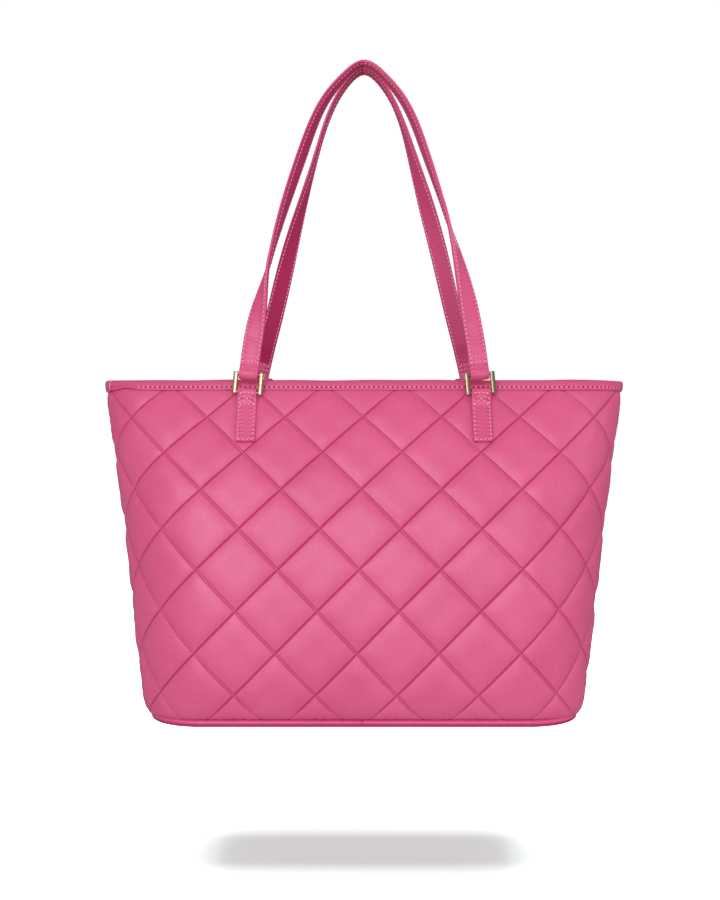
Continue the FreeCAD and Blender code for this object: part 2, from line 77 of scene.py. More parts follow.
# Quilting. Its channels form a square lattice stood on its corner.
DIAMOND = 67.5  # from corner to corner
LATTICE_HEIGHT = 132.7  # a crossing lies on the middle of the front at this height
LATTICE_OFFSET = -4.3
LATTICE_SLANT = 0.022  # drift of the crossings towards -X, per millimetre down
LOW_ROW_STRETCH = 5e-6  # the rows open a little where the wall is drawn down to the base
CROWN_HEIGHT = 1.0
CHANNEL_DEPTH = 1.0  # the channels that fall to the right, which are wide
CREASE_DEPTH = 1.1  # the channels that rise to the right, which are narrow
CHANNEL_STEPS = (0, 0.7, 0.9, 1.1, 1.35, 1.8, 2.8, 4.5, 7.5, 12, 18)
CREASE_STEPS = (0, 0.25, 0.5, 0.8, 1.2, 1.8, 3.0, 5, 8, 12.5, 18)
SEAM_CUTS = (0.5, 1.0, 1.7, 2.6, 4.0, 6.5)  # rows of vertices beside each side seam
PAD_CELLS = 8  # cells along each side of a pad in the simulation
PAD_WAVES = 4

# Binding, in section: depth inside the wall's smooth form, and height.
BINDING_PROFILE = (
    (-0.9, 283.6), (-1.7, 283.4), (-2.1, 284.0), (-2.15, 285.2), (-1.7, 286.1), (-2.1, 287.0),
    (-2.15, 288.6), (-2.0, 290.3), (-1.4, 291.8), (0.2, 292.6), (2.0, 292.7), (3.9, 292.5),
    (5.3, 291.2), (6.1, 289.8), (6.2, 287.8), (5.8, 286.1), (6.2, 284.9), (5.9, 283.6),
    (4.9, 283.7), (4.9, 289.8), (-0.4, 289.8), (-0.5, 283.9),
)
BINDING_JOIN = -228.0  # along the outline: on the front left corner
BINDING_GAPE = -208.0  # where its lower edge rides up and is left unsewn
BINDING_PITCH = 4.15
STITCH_LINE = 286.1

# Base, in section: inset from its outline, and height.
BASE_PROFILE = (
    (3.0, 2.6), (0.6, 2.5), (-1.2, 1.9), (-1.4, 0.9), (-0.6, 0.2), (1.6, 0.02), (6, 0), (14, 0),
    (30, 0), (55, 0), (80, 0),
)

# Strap, tab and ring sizes.
RING_X = 101.6
RING_HEIGHT = 281.5
RING_STAND = 6.2
RING_BAR_SPACING = 15.8
RING_LEAN = 8.0
RING_TURN = 4.5  # degrees that each ring is turned in its own plane
STRAP_WIDTH = 16.6
STITCH_PITCH = 3.8
HANDLE_TOP = 580.0
HANDLE_TOP_Y = 10.2
HANDLE_THICKNESS = 3.4
HANDLE_PLY = 3.1
PLY_SHIFT = 1.56  # of each ply from the middle of a folded end
RETURN_LENGTH = 16.8  # of the ply that is folded back up
CROSS_ROWS = (10.8, 15.2)  # rows of stitches across a folded end, above the ring's bar
FOLD_LENGTH = 26.0
FOLD_START = 8.0  # above the bar, where a folded ply's loop begins
MERGE_START = 22.4  # above the bar, where the strap leaves its returning ply
MERGE_END = 36.0
INNER_FACE_PAINTED_SHADES = (0.92, 0.42)  # painted shade on a handle's inner face: on its left legs, and on its right legs
RING_BAR_RADIUS = 1.55
RING_SIDE_X = 11.05
RING_SIDE_WIDTH = 4.3
RING_SIDE_DEPTH = 3.2
TAB_LOOP_RADIUS = 2.6  # of the middle of a ply that goes round a bar
HANDLE_LOOP_RADIUS = 3.8
STITCH_INSET = 0.8  # share of a strap's half width at which its edges are sewn
STITCH_HALF_WIDTH = STITCH_INSET * STRAP_WIDTH / 2
THREAD_SINK = 0.02
HOLE_SINK = 0.24
HOLE_HALF_LENGTH = 0.25
STRAP_ACROSS = (1, 0.985, 0.94, 0.87, 0.8, 0.73, 0.64, 0.54, 0.44, 0.22)
# Shares of half the thickness: full in the middle, sunk along the stitches, round at the edge.
STRAP_SWELL = {0.8: 0.86, 0.73: 0.94, 0.87: 0.94, 0.94: 0.86, 0.985: 0.62, 1: 0.24}
TAB_FOOT = 238.0
TAB_FOLD_START = 271.0
TAB_PLY = 1.5
TAB_LIFT = 0.1
TAB_PUCKER = 0.5
BOX_LOW = 270.5
BOX_HIGH = 281.0

# Handles: places along each leg from the top of the arch, as (x, z), and where each leg twists.
FRONT_ARCH = ((0, 580), (18.5, 567.5), (35.5, 545), (54, 499.5), (77, 425), (92.5, 354), (98.6, 314))
BACK_ARCH = ((0, 580), (17, 567.5), (30.5, 545), (46, 500), (68, 425), (87, 350), (96.5, 314))
FRONT_TWISTS = ((320, 404, 22), (322, 452, 12))  # left leg, right leg: flat until, edge-on at, overturn
BACK_TWISTS = ((330, 520, 0), (380, 560, 0))

# Inside.
LINING_DEPTH = 7.0
LINING_THICKNESS = 0.8
LINING_TOP = 254.0
LINING_LIFT_START = 228.0
LINING_LIFT = 2.8  # how much nearer to the wall its top edge is
LINING_FLOOR = 4.9
FACING_STITCH = 253.2
FACING_PROFILE = (  # depth inside the wall's smooth form, and height
    (3.7, 289.0), (3.7, 270.0), (3.7, 252.0), (3.9, 250.5), (4.4, 250.0), (5.1, 250.3), (5.4, 251.2),
    (5.2, 252.4), (5.0, FACING_STITCH), (5.15, 254.2), (4.9, 258.0), (4.8, 266.0), (4.85, 276.0),
    (4.8, 284.0), (4.7, 289.0),
)
ZIP_HEIGHT = 203.0
ZIP_HALF_LENGTH = 90.0
ZIP_WINDOW = 5.5
WINDOW_SHARE = 0.8283  # of half the way round, to the ends of the zip's window
TOOTH_PITCH = 2.0
POUCH_DROP = 105.0
POUCH_HALF_WIDTH = ZIP_HALF_LENGTH + 8
SLIP_HALF_WIDTH = 80.0
SLIP_BOTTOM = 95.0
SLIP_TOP = 200.0
SLIP_SLACK = 2.2
HEM_PROFILE = (  # height above the pocket's cloth, and height on the wall
    (0.0, 200.0), (0.75, 199.6), (1.0, 200.6), (0.85, 202.0), (0.95, 204), (1.0, 206.8), (0.6, 208.0),
    (-0.1, 208.2), (-0.5, 207.4), (-0.55, 204), (-0.5, 200.4),
)

# Colours.
PINK = (0.715, 0.074, 0.224)
PINK_LIGHT = (0.785, 0.106, 0.268)
TRIM_PINK = (0.69, 0.062, 0.2)
TRIM_PINK_LIGHT = (0.76, 0.088, 0.244)
# Deep crimson of the painted shade on the leatherette.
PAINTED_SHADE_CRIMSON = (0.43, 0.0, 0.085)
THREAD = (1.0, 0.325, 0.55)

# Studio. The floor's height and size are in millimetres, and all else here is in metres.
FLOOR_HEIGHT = -135.0
FLOOR_HALF_SIZE = 30000.0
FLOOR_TONES = ((0.28, 0.325, 0.32), (0.29, 0.335, 0.33))
FLOOR_GLOW_NEAR = 0.5
FLOOR_GLOW_FAR = 1.0
FLOOR_PATCH = (0.35, 1.6)  # distances between which the glow grows
WORLD_SEEN = 1.05
WORLD_STRENGTH = 0.63
WORLD_GLOSS = 0.16
LAMP_TARGET = (0, 0, 0.22)
LAMPS = (  # name, place, size in metres, watts, what it lights
    ("front_softbox", (-0.5, -2.3, 1.15), (1.7, 0.9), 19.5, "bag"),
    ("low_softbox", (-0.2, -2.4, 0.05), (1.8, 0.8), 7, "bag"),
    ("right_softbox", (1.9, -1.3, 0.6), (0.5, 1.3), 5, "bag"),
    ("rear_softbox", (0.5, 2.3, 1.1), (1.6, 0.9), 12, "bag"),
    ("ring_softbox", (-0.25, -2.2, 0.75), (0.42, 0.9), 4.6, "rings"),
    ("rear_ring_softbox", (0.25, 2.2, 0.75), (0.9, 0.9), 6, "rings"),
    ("top_softbox", (0, 0.0, 1.9), (2.2, 1.9), 420, "floor"),
)
CAMERA_PLACE = (0, -1.06785, 0.24462)
CAMERA_LENS = 46.74
CAMERA_SHIFT = (-0.0046, -0.0172)


# ---- form of the body -------------------------------------------------------------------------


def between(height, values):
    """Catmull-Rom curve through the stations' values, read at an array of heights."""
    x = np.asarray(STATION_HEIGHTS, float)
    y = np.asarray(values, float)
    slope = np.empty_like(y)
    slope[1:-1] = (y[2:] - y[:-2]) / (x[2:] - x[:-2])
    slope[0] = (y[1] - y[0]) / (x[1] - x[0])
    slope[-1] = (y[-1] - y[-2]) / (x[-1] - x[-2])
    height = np.asarray(height, float)
    i = np.clip(np.searchsorted(x, height, side="right") - 1, 0, len(x) - 2)
    span = x[i + 1] - x[i]
    t = (height - x[i]) / span
    return (
        (2 * t**3 - 3 * t**2 + 1) * y[i]
        + (t**3 - 2 * t**2 + t) * span * slope[i]
        + (3 * t**2 - 2 * t**3) * y[i + 1]
        + (t**3 - t**2) * span * slope[i + 1]
    )


def half_depth(z):
    return between(z, STATION_HALF_DEPTHS)


def sizes_at(z, depth=0.0):
    """Half width, half depth and corner radius of the section at a height."""
    a = BASE_HALF_WIDTH + WIDTH_GAIN * np.asarray(z, float) - depth
    return a, half_depth(z) - depth, between(z, STATION_CORNERS) - depth


def half_run(z, depth=0.0):
    """Length of the section's outline from the middle of the front to the middle of a side."""
    a, b, c = sizes_at(z, depth)
    return a + b + c * (math.pi / 2 - 2)


def wall_point(s, z, depth=0.0):
    """Point of the wall at a distance along the outline from the middle of the front."""
    s, z = np.broadcast_arrays(np.asarray(s, float), np.asarray(z, float))
    a, b, c = sizes_at(z, depth)
    run = half_run(z, depth)
    s = (s + 2 * run) % (4 * run) - 2 * run
    r = np.abs(s)
    behind = r > run
    r = np.where(behind, 2 * run - r, r)
    flat = a - c
    angle = np.clip((r - flat) / c, 0, math.pi / 2)
    x = np.minimum(r, flat) + c * np.sin(angle)
    y = -(b - c) - c * np.cos(angle) + np.maximum(r - flat - c * math.pi / 2, 0)
    return np.stack([np.copysign(x, s), np.where(behind, -y, y), z], -1)


def wall_normal(s, z, depth=0.0):
    step = 0.5
    along = wall_point(s + step, z, depth) - wall_point(s - step, z, depth)
    up = wall_point(s, z + step, depth) - wall_point(s, z - step, depth)
    return unit(np.cross(along, up))


def unit(v):
    return v / np.linalg.norm(v, axis=-1, keepdims=True)


def level(v):
    """Unit vectors with their upward part left out."""
    return unit(v * np.array([1, 1, 0]))


def run_along(points):
    """Length along a line, at each of its points."""
    return np.concatenate([[0], np.cumsum(np.linalg.norm(np.diff(points, axis=0), axis=1))])


def read_along(at, order, table):
    """Rows of a table, read at places between them."""
    return np.stack([np.interp(at, order, table[:, k]) for k in range(table.shape[1])], -1)


def relax(path, passes):
    """Rounds off a path, and leaves its ends."""
    for _ in range(passes):
        path[1:-1] = 0.25 * path[:-2] + 0.5 * path[1:-1] + 0.25 * path[2:]
    return path


def smooth(t):
    t = np.clip(t, 0, 1)
    return t * t * (3 - 2 * t)


RISE_Z = np.linspace(-2, 298, 601)
RISE_T = np.concatenate([[0], np.cumsum(np.hypot(np.diff(RISE_Z), np.diff(half_depth(RISE_Z))))])


def rise(z):
    """Length up the middle of the front wall."""
    return np.interp(z, RISE_Z, RISE_T)


def height_of(t):
    return np.interp(t, RISE_T, RISE_Z)


# ---- meshes -----------------------------------------------------------------------------------


def make_object(name, vertices, faces, material, smooth_faces=True):
    """Mesh object from points in millimetres."""
    mesh = bpy.data.meshes.new(name)
    mesh.from_pydata((np.asarray(vertices, float) * MM).tolist(), [], [tuple(f) for f in faces])
    mesh.polygons.foreach_set("use_smooth", [smooth_faces] * len(mesh.polygons))
    mesh.materials.append(material)
    mesh.update()
    obj = bpy.data.objects.new(name, mesh)
    bpy.context.scene.collection.objects.link(obj)
    return obj


def tidy_normals(obj):
    mesh = bmesh.new()
    mesh.from_mesh(obj.data)
    bmesh.ops.recalc_face_normals(mesh, faces=mesh.faces)
    mesh.to_mesh(obj.data)
    mesh.free()
    return obj


def tube_faces(rings, points, closed=False):
    """Quads of a skin over rings of points, with its ends closed if it doesn't run round."""
    faces = []
    for i in range(rings if closed else rings - 1):
        a, b = i * points, (i + 1) % rings * points
        for j in range(points):
            k = (j + 1) % points
            faces.append((a + j, a + k, b + k, b + j))
    if not closed:
        faces.append(tuple(range(points))[::-1])
        faces.append(tuple((rings - 1) * points + j for j in range(points)))
    return faces


def skin(name, rings, material, closed=False):
    """Skin over an array of rings, shaped (rings, points, 3)."""
    rings = np.asarray(rings, float)
    faces = tube_faces(len(rings), rings.shape[1], closed)
    return tidy_normals(make_object(name, rings.reshape(-1, 3), faces, material))


def paint(obj, name, values):
    """Stores one number for each point of the mesh, for its material to read."""
    attribute = obj.data.attributes.new(name, "FLOAT", "POINT")
    attribute.data.foreach_set("value", np.asarray(values, np.float32))


def join_skins(name, parts, material):
    """One object from many (vertices, faces) pieces."""
    vertices, faces = [], []
    count = 0
    for points, quads in parts:
        vertices.append(points)
        faces.extend(tuple(i + count for i in face) for face in quads)
        count += len(points)
    return make_object(name, np.concatenate(vertices), faces, material)


def rounded_section(half_width, half_height, radius, steps=3):
    """Points round a rectangle with round corners, anticlockwise."""
    points = []
    for k, (sx, sy) in enumerate(((1, -1), (1, 1), (-1, 1), (-1, -1))):
        for i in range(steps + 1):
            turn = math.radians(-90 + 90 * k + 90 * i / steps)
            points.append(
                (
                    sx * (half_width - radius) + radius * math.cos(turn),
                    sy * (half_height - radius) + radius * math.sin(turn),
                )
            )
    return np.array(points)


# ---- materials --------------------------------------------------------------------------------


class Shader:
    """A material's nodes, with short calls to add and join them."""

    def __init__(self, name):
        self.material = bpy.data.materials.new(name)
        self.material.use_nodes = True
        self.tree = self.material.node_tree
        self.surface = self.tree.nodes["Principled BSDF"]
        self.place = self.add("ShaderNodeTexCoord").outputs["Object"]

    def add(self, kind, **values):
        node = self.tree.nodes.new(kind)
        for key, value in values.items():
            setattr(node, key, value)
        return node

    def join(self, source, target):
        self.tree.links.new(source, target)

    def set(self, **values):
        for key, value in values.items():
            self.surface.inputs[key.replace("_", " ").title().replace("Ior", "IOR")].default_value = value

    def noise(self, scale, detail=3.0, roughness=0.55):
        node = self.add("ShaderNodeTexNoise")
        node.inputs["Scale"].default_value = scale
        node.inputs["Detail"].default_value = detail
        node.inputs["Roughness"].default_value = roughness
        self.join(self.place, node.inputs["Vector"])
        return node.outputs["Fac"]

    def cells(self, scale):
        node = self.add("ShaderNodeTexVoronoi")
        node.inputs["Scale"].default_value = scale
        self.join(self.place, node.inputs["Vector"])
        return node.outputs["Distance"]

    def attribute(self, name):
        return self.add("ShaderNodeAttribute", attribute_name=name).outputs["Fac"]

    def ramp(self, source, low, high, start=0.0, end=1.0):
        """Map of a number onto a range."""
        node = self.add("ShaderNodeMapRange", clamp=True)
        self.join(source, node.inputs["Value"])
        for key, value in (("From Min", start), ("From Max", end), ("To Min", low), ("To Max", high)):
            node.inputs[key].default_value = value
        return node.outputs["Result"]

    def mix(self, factor, first, second):
        node = self.add("ShaderNodeMix", data_type="RGBA")
        self.join(factor, node.inputs["Factor"])
        for socket, value in ((node.inputs[6], first), (node.inputs[7], second)):
            if isinstance(value, tuple):
                socket.default_value = (*value, 1)
            else:
                self.join(value, socket)
        return node.outputs[2]

    def maths(self, operation, first, second):
        node = self.add("ShaderNodeMath", operation=operation)
        for socket, value in ((node.inputs[0], first), (node.inputs[1], second)):
            if isinstance(value, (int, float)):
                socket.default_value = value
            else:
                self.join(value, socket)
        return node.outputs[0]

    def bump(self, height, strength, distance, after=None):
        node = self.add("ShaderNodeBump")
        node.inputs["Strength"].default_value = strength
        node.inputs["Distance"].default_value = distance
        self.join(height, node.inputs["Height"])
        if after is not None:
            self.join(after, node.inputs["Normal"])
        return node.outputs["Normal"]

    def finish(self, colour, roughness, normal):
        self.join(colour, self.surface.inputs["Base Color"])
        self.join(roughness, self.surface.inputs["Roughness"])
        self.join(normal, self.surface.inputs["Normal"])
        return self.material


def leatherette(name, colour, light):
    """Satin coated cloth with a fine pebbled grain. Where a piece's 'crease' mask lays painted shade on it,
    it is darker and duller.
    """
    shader = Shader(name)
    drift = shader.noise(14, 2)
    mottle = shader.noise(240, 4)
    tone = shader.maths("ADD", shader.ramp(drift, 0, 0.6, 0.35, 0.65), shader.ramp(mottle, 0, 0.4, 0.3, 0.7))
    base = shader.mix(tone, colour, light)
    # Painted shade: the 'crease' mask darkens the colour towards deep crimson in creases and grooves, along
    # stitch lines, under edges and over inner faces.
    painted_shade = shader.attribute("crease")
    base = shader.mix(painted_shade, base, PAINTED_SHADE_CRIMSON)
    pebbles = shader.cells(1150)
    wrinkles = shader.noise(520, 5, 0.65)
    normal = shader.bump(pebbles, 0.36, 0.0002)
    normal = shader.bump(wrinkles, 0.22, 0.00022, normal)
    roughness = shader.ramp(wrinkles, 0.4, 0.52, 0.3, 0.7)
    roughness = shader.maths("ADD", roughness, shader.ramp(painted_shade, 0, 0.45))
    shader.set(specular_ior_level=0.75)
    return shader.finish(base, roughness, normal)


def thread(name, colour, shine=0.35):
    """Twisted sewing thread."""
    shader = Shader(name)
    twist = shader.noise(2600, 2)
    base = shader.mix(twist, colour, tuple(0.88 * c for c in colour))
    normal = shader.bump(twist, 0.5, 0.0001)
    shader.set(specular_ior_level=shine)
    return shader.finish(base, shader.ramp(twist, 0.5, 0.65), normal)


def cloth(name, colour, light, scale=1500.0):
    """Fine twill, with its ribs running across the vertical."""
    shader = Shader(name)
    ribs = shader.add("ShaderNodeTexWave", wave_type="BANDS", bands_direction="DIAGONAL")
    ribs.inputs["Scale"].default_value = scale
    ribs.inputs["Distortion"].default_value = 0.6
    ribs.inputs["Detail"].default_value = 1.0
    shader.join(shader.place, ribs.inputs["Vector"])
    drift = shader.noise(30, 3)
    base = shader.mix(shader.maths("MULTIPLY", ribs.outputs["Fac"], drift), colour, light)
    normal = shader.bump(ribs.outputs["Fac"], 0.4, 0.00012)
    shader.set(sheen_weight=0.25, sheen_roughness=0.5, specular_ior_level=0.3)
    return shader.finish(base, shader.ramp(drift, 0.72, 0.86), normal)


def metal(name, colour, tint, roughness=0.2):
    """Polished plating with faint handling marks."""
    shader = Shader(name)
    marks = shader.noise(420, 5, 0.7)
    drift = shader.noise(60, 2)
    base = shader.mix(drift, colour, tint)
    normal = shader.bump(marks, 0.03, 0.00003)
    shader.set(metallic=1.0)
    return shader.finish(base, shader.ramp(marks, roughness, roughness + 0.12, 0.3, 0.7), normal)


def plastic(name, colour, light, roughness=0.45):
    shader = Shader(name)
    grain = shader.noise(1800, 3)
    base = shader.mix(grain, colour, light)
    normal = shader.bump(grain, 0.15, 0.00008)
    return shader.finish(base, shader.ramp(grain, roughness, roughness + 0.1), normal)


LEATHER = leatherette("pink_leatherette", PINK, PINK_LIGHT)
TRIM = leatherette("pink_trim", TRIM_PINK, TRIM_PINK_LIGHT)
STITCH = thread("pink_thread", THREAD)
# The needle holes are dark capsules in these colours: painted shade where each stitch goes into the cloth.
HOLE_SHADE = thread("needle_hole_shade", (0.34, 0.01, 0.055), 0.05)
DARK_STITCH = thread("dark_thread", (0.06, 0.055, 0.06))
DARK_HOLE_SHADE = thread("dark_needle_hole_shade", (0.008, 0.008, 0.009), 0.05)
GOLD = metal("light_gold", (0.72, 0.58, 0.36), (0.8, 0.68, 0.46))
STEEL = metal("plain_steel", (0.55, 0.55, 0.56), (0.66, 0.66, 0.67), 0.35)
LINING = cloth("lining_twill", (0.034, 0.032, 0.036), (0.085, 0.08, 0.088))
TAPE = cloth("zip_tape_cloth", (0.015, 0.014, 0.016), (0.04, 0.038, 0.042), 2600.0)
COIL = plastic("zip_coil_nylon", (0.02, 0.02, 0.022), (0.045, 0.045, 0.05))
BOARD = plastic("grey_board", (0.09, 0.09, 0.09), (0.14, 0.14, 0.14), 0.75)


# ---- quilted panels ---------------------------------------------------------------------------


def lattice_of(s, z):
    """Lattice coordinates. Channels run where either is a whole number."""
    t = rise(z) - rise(LATTICE_HEIGHT)
    row = t / DIAMOND + LOW_ROW_STRETCH * np.minimum(t, 0) ** 2
    column = (s - LATTICE_OFFSET - LATTICE_SLANT * t) / DIAMOND
    return column + row, column - row


def from_lattice(p, q):
    """Distance along the outline, and height, of a point of the lattice."""
    row = (p - q) / 2
    low = (-1 / DIAMOND + np.sqrt(1 / DIAMOND**2 + 4 * LOW_ROW_STRETCH * np.minimum(row, 0))) / (
        2 * LOW_ROW_STRETCH
    )
    t = np.where(row < 0, low, row * DIAMOND)
    s = (p + q) / 2 * DIAMOND + LATTICE_OFFSET + LATTICE_SLANT * t
    return s, height_of(t + rise(LATTICE_HEIGHT))


def lattice_grid(p_lines, q_lines):
    """Mesh of lattice lines laid on the wall, kept where it reaches the front half."""
    p, q = np.meshgrid(p_lines, q_lines, indexing="ij")
    s, z = from_lattice(p, q)
    inside = (z > PANEL_BOTTOM - 9) & (z < PANEL_TOP + 6) & (np.abs(s) < half_run(np.clip(z, 0, 296)) + 6)
    wanted = inside[:-1, :-1] | inside[1:, :-1] | inside[:-1, 1:] | inside[1:, 1:]
    columns = len(q_lines)
    corners = [i * columns + j for i, j in np.argwhere(wanted)]
    quads = np.array([(k, k + columns, k + columns + 1, k + 1) for k in corners])
    used, flat = np.unique(quads, return_inverse=True)
    return p.ravel()[used], q.ravel()[used], flat.reshape(-1, 4)


def lines_between(low, high, steps):
    """Lattice lines, close together at each channel, from one whole number to another."""
    side = DIAMOND / math.sqrt(2)
    half = [step / side for step in steps] + [0.5]
    cell = half + [1 - t for t in half[-2:0:-1]]
    return np.array([k + t for k in range(low, high) for t in cell] + [high])


def simulate_pads():
    """Blows up the front wall's pads as cloth that is held along the channels.

    Returns the height of each pad's sine waves, by the pad's whole-number lattice corner.
    """
    lines = np.arange(-7 * PAD_CELLS, 8 * PAD_CELLS + 1) / PAD_CELLS
    p, q, quads = lattice_grid(lines, lines)
    s, z = from_lattice(p, q)
    rest = wall_point(s, np.clip(z, -2, 298))
    cloth_piece = make_object("pad_cloth", rest, quads, LEATHER)
    on_line = (np.abs(p - np.round(p)) < 1e-6) | (np.abs(q - np.round(q)) < 1e-6)
    held = on_line | (z < PANEL_BOTTOM) | (z > PANEL_TOP)
    group = cloth_piece.vertex_groups.new(name="held")
    group.add([int(i) for i in np.flatnonzero(held)], 1.0, "REPLACE")
    modifier = cloth_piece.modifiers.new("cloth", "CLOTH")
    settings = modifier.settings
    settings.quality = 6
    settings.mass = 0.2
    settings.tension_stiffness = 25
    settings.compression_stiffness = 25
    settings.shear_stiffness = 12
    settings.bending_stiffness = 0.6
    settings.use_pressure = True
    settings.uniform_pressure_force = 40
    settings.vertex_group_mass = "held"
    settings.effector_weights.gravity = 0
    modifier.collision_settings.use_collision = False
    scene = bpy.context.scene
    for number in range(1, 19):
        scene.frame_set(number)
    shape = cloth_piece.evaluated_get(bpy.context.evaluated_depsgraph_get()).to_mesh()
    moved = np.empty(len(shape.vertices) * 3)
    shape.vertices.foreach_get("co", moved)
    scene.frame_set(1)
    bpy.data.objects.remove(cloth_piece)
    lift = np.einsum("ij,ij->i", moved.reshape(-1, 3) / MM - rest, wall_normal(s, np.clip(z, 0, 295)))
    lift = np.clip(lift / np.percentile(lift[~held], 95), 0, 1.4) * CROWN_HEIGHT
    return waves_of(p, q, lift)


def waves_of(p, q, lift):
    """Least sine waves of each whole pad's lift."""
    numbers = np.arange(1, PAD_WAVES + 1)
    table = {}
    corner_p, corner_q = np.floor(p + 1e-6).astype(int), np.floor(q + 1e-6).astype(int)
    for key in set(zip(corner_p.tolist(), corner_q.tolist())):
        mine = (corner_p == key[0]) & (corner_q == key[1])
        u, v = p[mine] - key[0], q[mine] - key[1]
        if mine.sum() < PAD_CELLS**2:
            continue
        wave_u = np.sin(math.pi * u[:, None] * numbers)
        wave_v = np.sin(math.pi * v[:, None] * numbers)
        heights = np.einsum("i,im,in->mn", lift[mine], wave_u, wave_v) * 4 / PAD_CELLS**2
        table[key] = heights
    return table


def crown(p, q, table):
    """Height of the pads at points of the lattice."""
    numbers = np.arange(1, PAD_WAVES + 1)
    plain = np.zeros((PAD_WAVES, PAD_WAVES))
    plain[0, 0] = 1.25 * CROWN_HEIGHT
    mean = sum(table.values()) / len(table) if table else plain
    p0, q0 = np.floor(p + 1e-9).astype(int), np.floor(q + 1e-9).astype(int)
    wave_p = np.sin(math.pi * (p - p0)[:, None] * numbers)
    wave_q = np.sin(math.pi * (q - q0)[:, None] * numbers)
    heights = np.array([table.get(key, mean) for key in zip(p0.tolist(), q0.tolist())])
    return np.einsum("imn,im,in->i", heights, wave_p, wave_q)


def relief(s, z, table):
    """How far the quilted wall stands out of its smooth form, and how much painted shade it takes in its
    channels and creases.
    """
    p, q = lattice_of(s, z)
    side = DIAMOND / math.sqrt(2)
    from_channel = np.abs(p - np.round(p)) * side
    from_crease = np.abs(q - np.round(q)) * side
    seam = half_run(z) - np.abs(s)
    edge = smooth(seam / 16) * smooth((PANEL_TOP - z) / 16) * smooth((z - PANEL_BOTTOM) / 14)
    swell = crown(p, q, table) * edge
    shoulders = 0.85 * np.exp(-from_crease / 3.2) + 0.7 * np.exp(-from_channel / 3.6)
    opening = smooth((from_crease - 0.4) / 0.9)
    channel = smooth((1.35 - from_channel) / 0.6) * opening
    crease = np.exp(-((from_crease / 0.55) ** 2))
    fade = 0.25 + 0.75 * edge
    under_tab = smooth((13.5 - np.abs(np.abs(s) - RING_X)) / 4.5) * smooth((z - TAB_FOOT + 6) / 5)
    stitched = 2.2 * np.exp(-np.maximum(seam, 0) / 2.0)
    drawn_in = 2.2 * (1 - smooth((z - PANEL_BOTTOM) / 5)) + 0.8 * smooth((z - 281) / 5)
    unevenness = 0.45 * np.sin(s / 41 + 0.9) * np.sin(z / 33 + 0.4) + 0.3 * np.sin(s / 67 - z / 52)
    lift = swell - fade * (shoulders + CHANNEL_DEPTH * channel + CREASE_DEPTH * crease)
    lift = lift - stitched - drawn_in + unevenness * edge + 0.9
    lift = lift * (1 - under_tab) + np.minimum(lift, -0.1) * under_tab
    # Painted shade: dark in the narrow creases, faint in the wide channels, and dark lines along the
    # channels' edges, strongest on the middle of the front. It is darker also along the side seams.
    rim_of_channel = np.exp(-(((from_channel - 1.0) / 0.26) ** 2)) * opening
    near_middle = 0.45 + 0.55 * smooth((190 - np.abs(s)) / 60)
    depth = np.clip(0.7 * crease + 0.06 * channel + 0.5 * rim_of_channel * near_middle, 0, 1) * fade
    depth = np.maximum(depth, 0.8 * np.exp(-np.maximum(seam, 0) / 0.8))
    return lift, depth


def cut(mesh, place, outward, keep=False):
    """Cuts a mesh with a plane, and drops what is beyond it unless it is kept."""
    everything = mesh.verts[:] + mesh.edges[:] + mesh.faces[:]
    bmesh.ops.bisect_plane(
        mesh, geom=everything, dist=1e-4, plane_co=place, plane_no=outward, clear_outer=not keep
    )


def quilted_panel(name, table, is_back):
    """Front panel, from side seam to side seam, with its inner face. The back one is turned round."""
    p, q, quads = lattice_grid(lines_between(-7, 8, CHANNEL_STEPS), lines_between(-8, 7, CREASE_STEPS))
    s, z = from_lattice(p, q)
    mesh = bmesh.new()
    points = [mesh.verts.new(v) for v in wall_point(s, np.clip(z, -2, 298))]
    for quad in quads:
        mesh.faces.new([points[i] for i in quad])
    cut(mesh, (0, 0, PANEL_BOTTOM), (0, 0, -1))
    cut(mesh, (0, 0, PANEL_TOP), (0, 0, 1))
    cut(mesh, (0, -0.06, 0), (0, 1, 0))
    for from_seam in SEAM_CUTS:
        cut(mesh, (0, -from_seam, 0), (0, 1, 0), keep=True)
    bmesh.ops.remove_doubles(mesh, verts=mesh.verts, dist=0.02)
    mesh.verts.index_update()
    flat = np.array([v.co for v in mesh.verts])
    faces = [[v.index for v in face.verts] for face in mesh.faces]
    border = [[v.index for v in edge.verts] for edge in mesh.edges if edge.is_boundary]
    mesh.free()
    s, z = outline_place(flat)
    lift, depth = relief(s, z, table)
    form = wall_point(s, z)
    normal = wall_normal(s, z)
    outer = form + normal * lift[:, None]
    inner = form - normal * (PANEL_THICKNESS + np.maximum(-lift, 0))[:, None]
    count = len(outer)
    faces += [[i + count for i in face][::-1] for face in faces]
    faces += [[a, b, b + count, a + count] for a, b in border]
    vertices = np.concatenate([outer, inner])
    if is_back:
        vertices = vertices * (-1, -1, 1)
    panel = tidy_normals(make_object(name, vertices, faces, LEATHER))
    # The outer face takes the painted shade; the inner face takes none.
    paint(panel, "crease", np.concatenate([depth, np.zeros(count)]))
    return panel


def outline_place(points):
    """Distance along the outline, and height, of points that lie on the wall."""
    x, y, z = points.T
    a, b, c = sizes_at(z)
    flat = a - c
    angle = np.arctan2(np.abs(x) - flat, np.maximum(-y - (b - c), 0))
    on_corner = flat + c * np.clip(angle, 0, math.pi / 2)
    on_side = flat + c * math.pi / 2 + (y + b - c)
    r = np.where(np.abs(x) < flat, np.abs(x), np.where(-y < b - c, on_side, on_corner))
    return np.copysign(r, x), z


# ---- base -------------------------------------------------------------------------------------


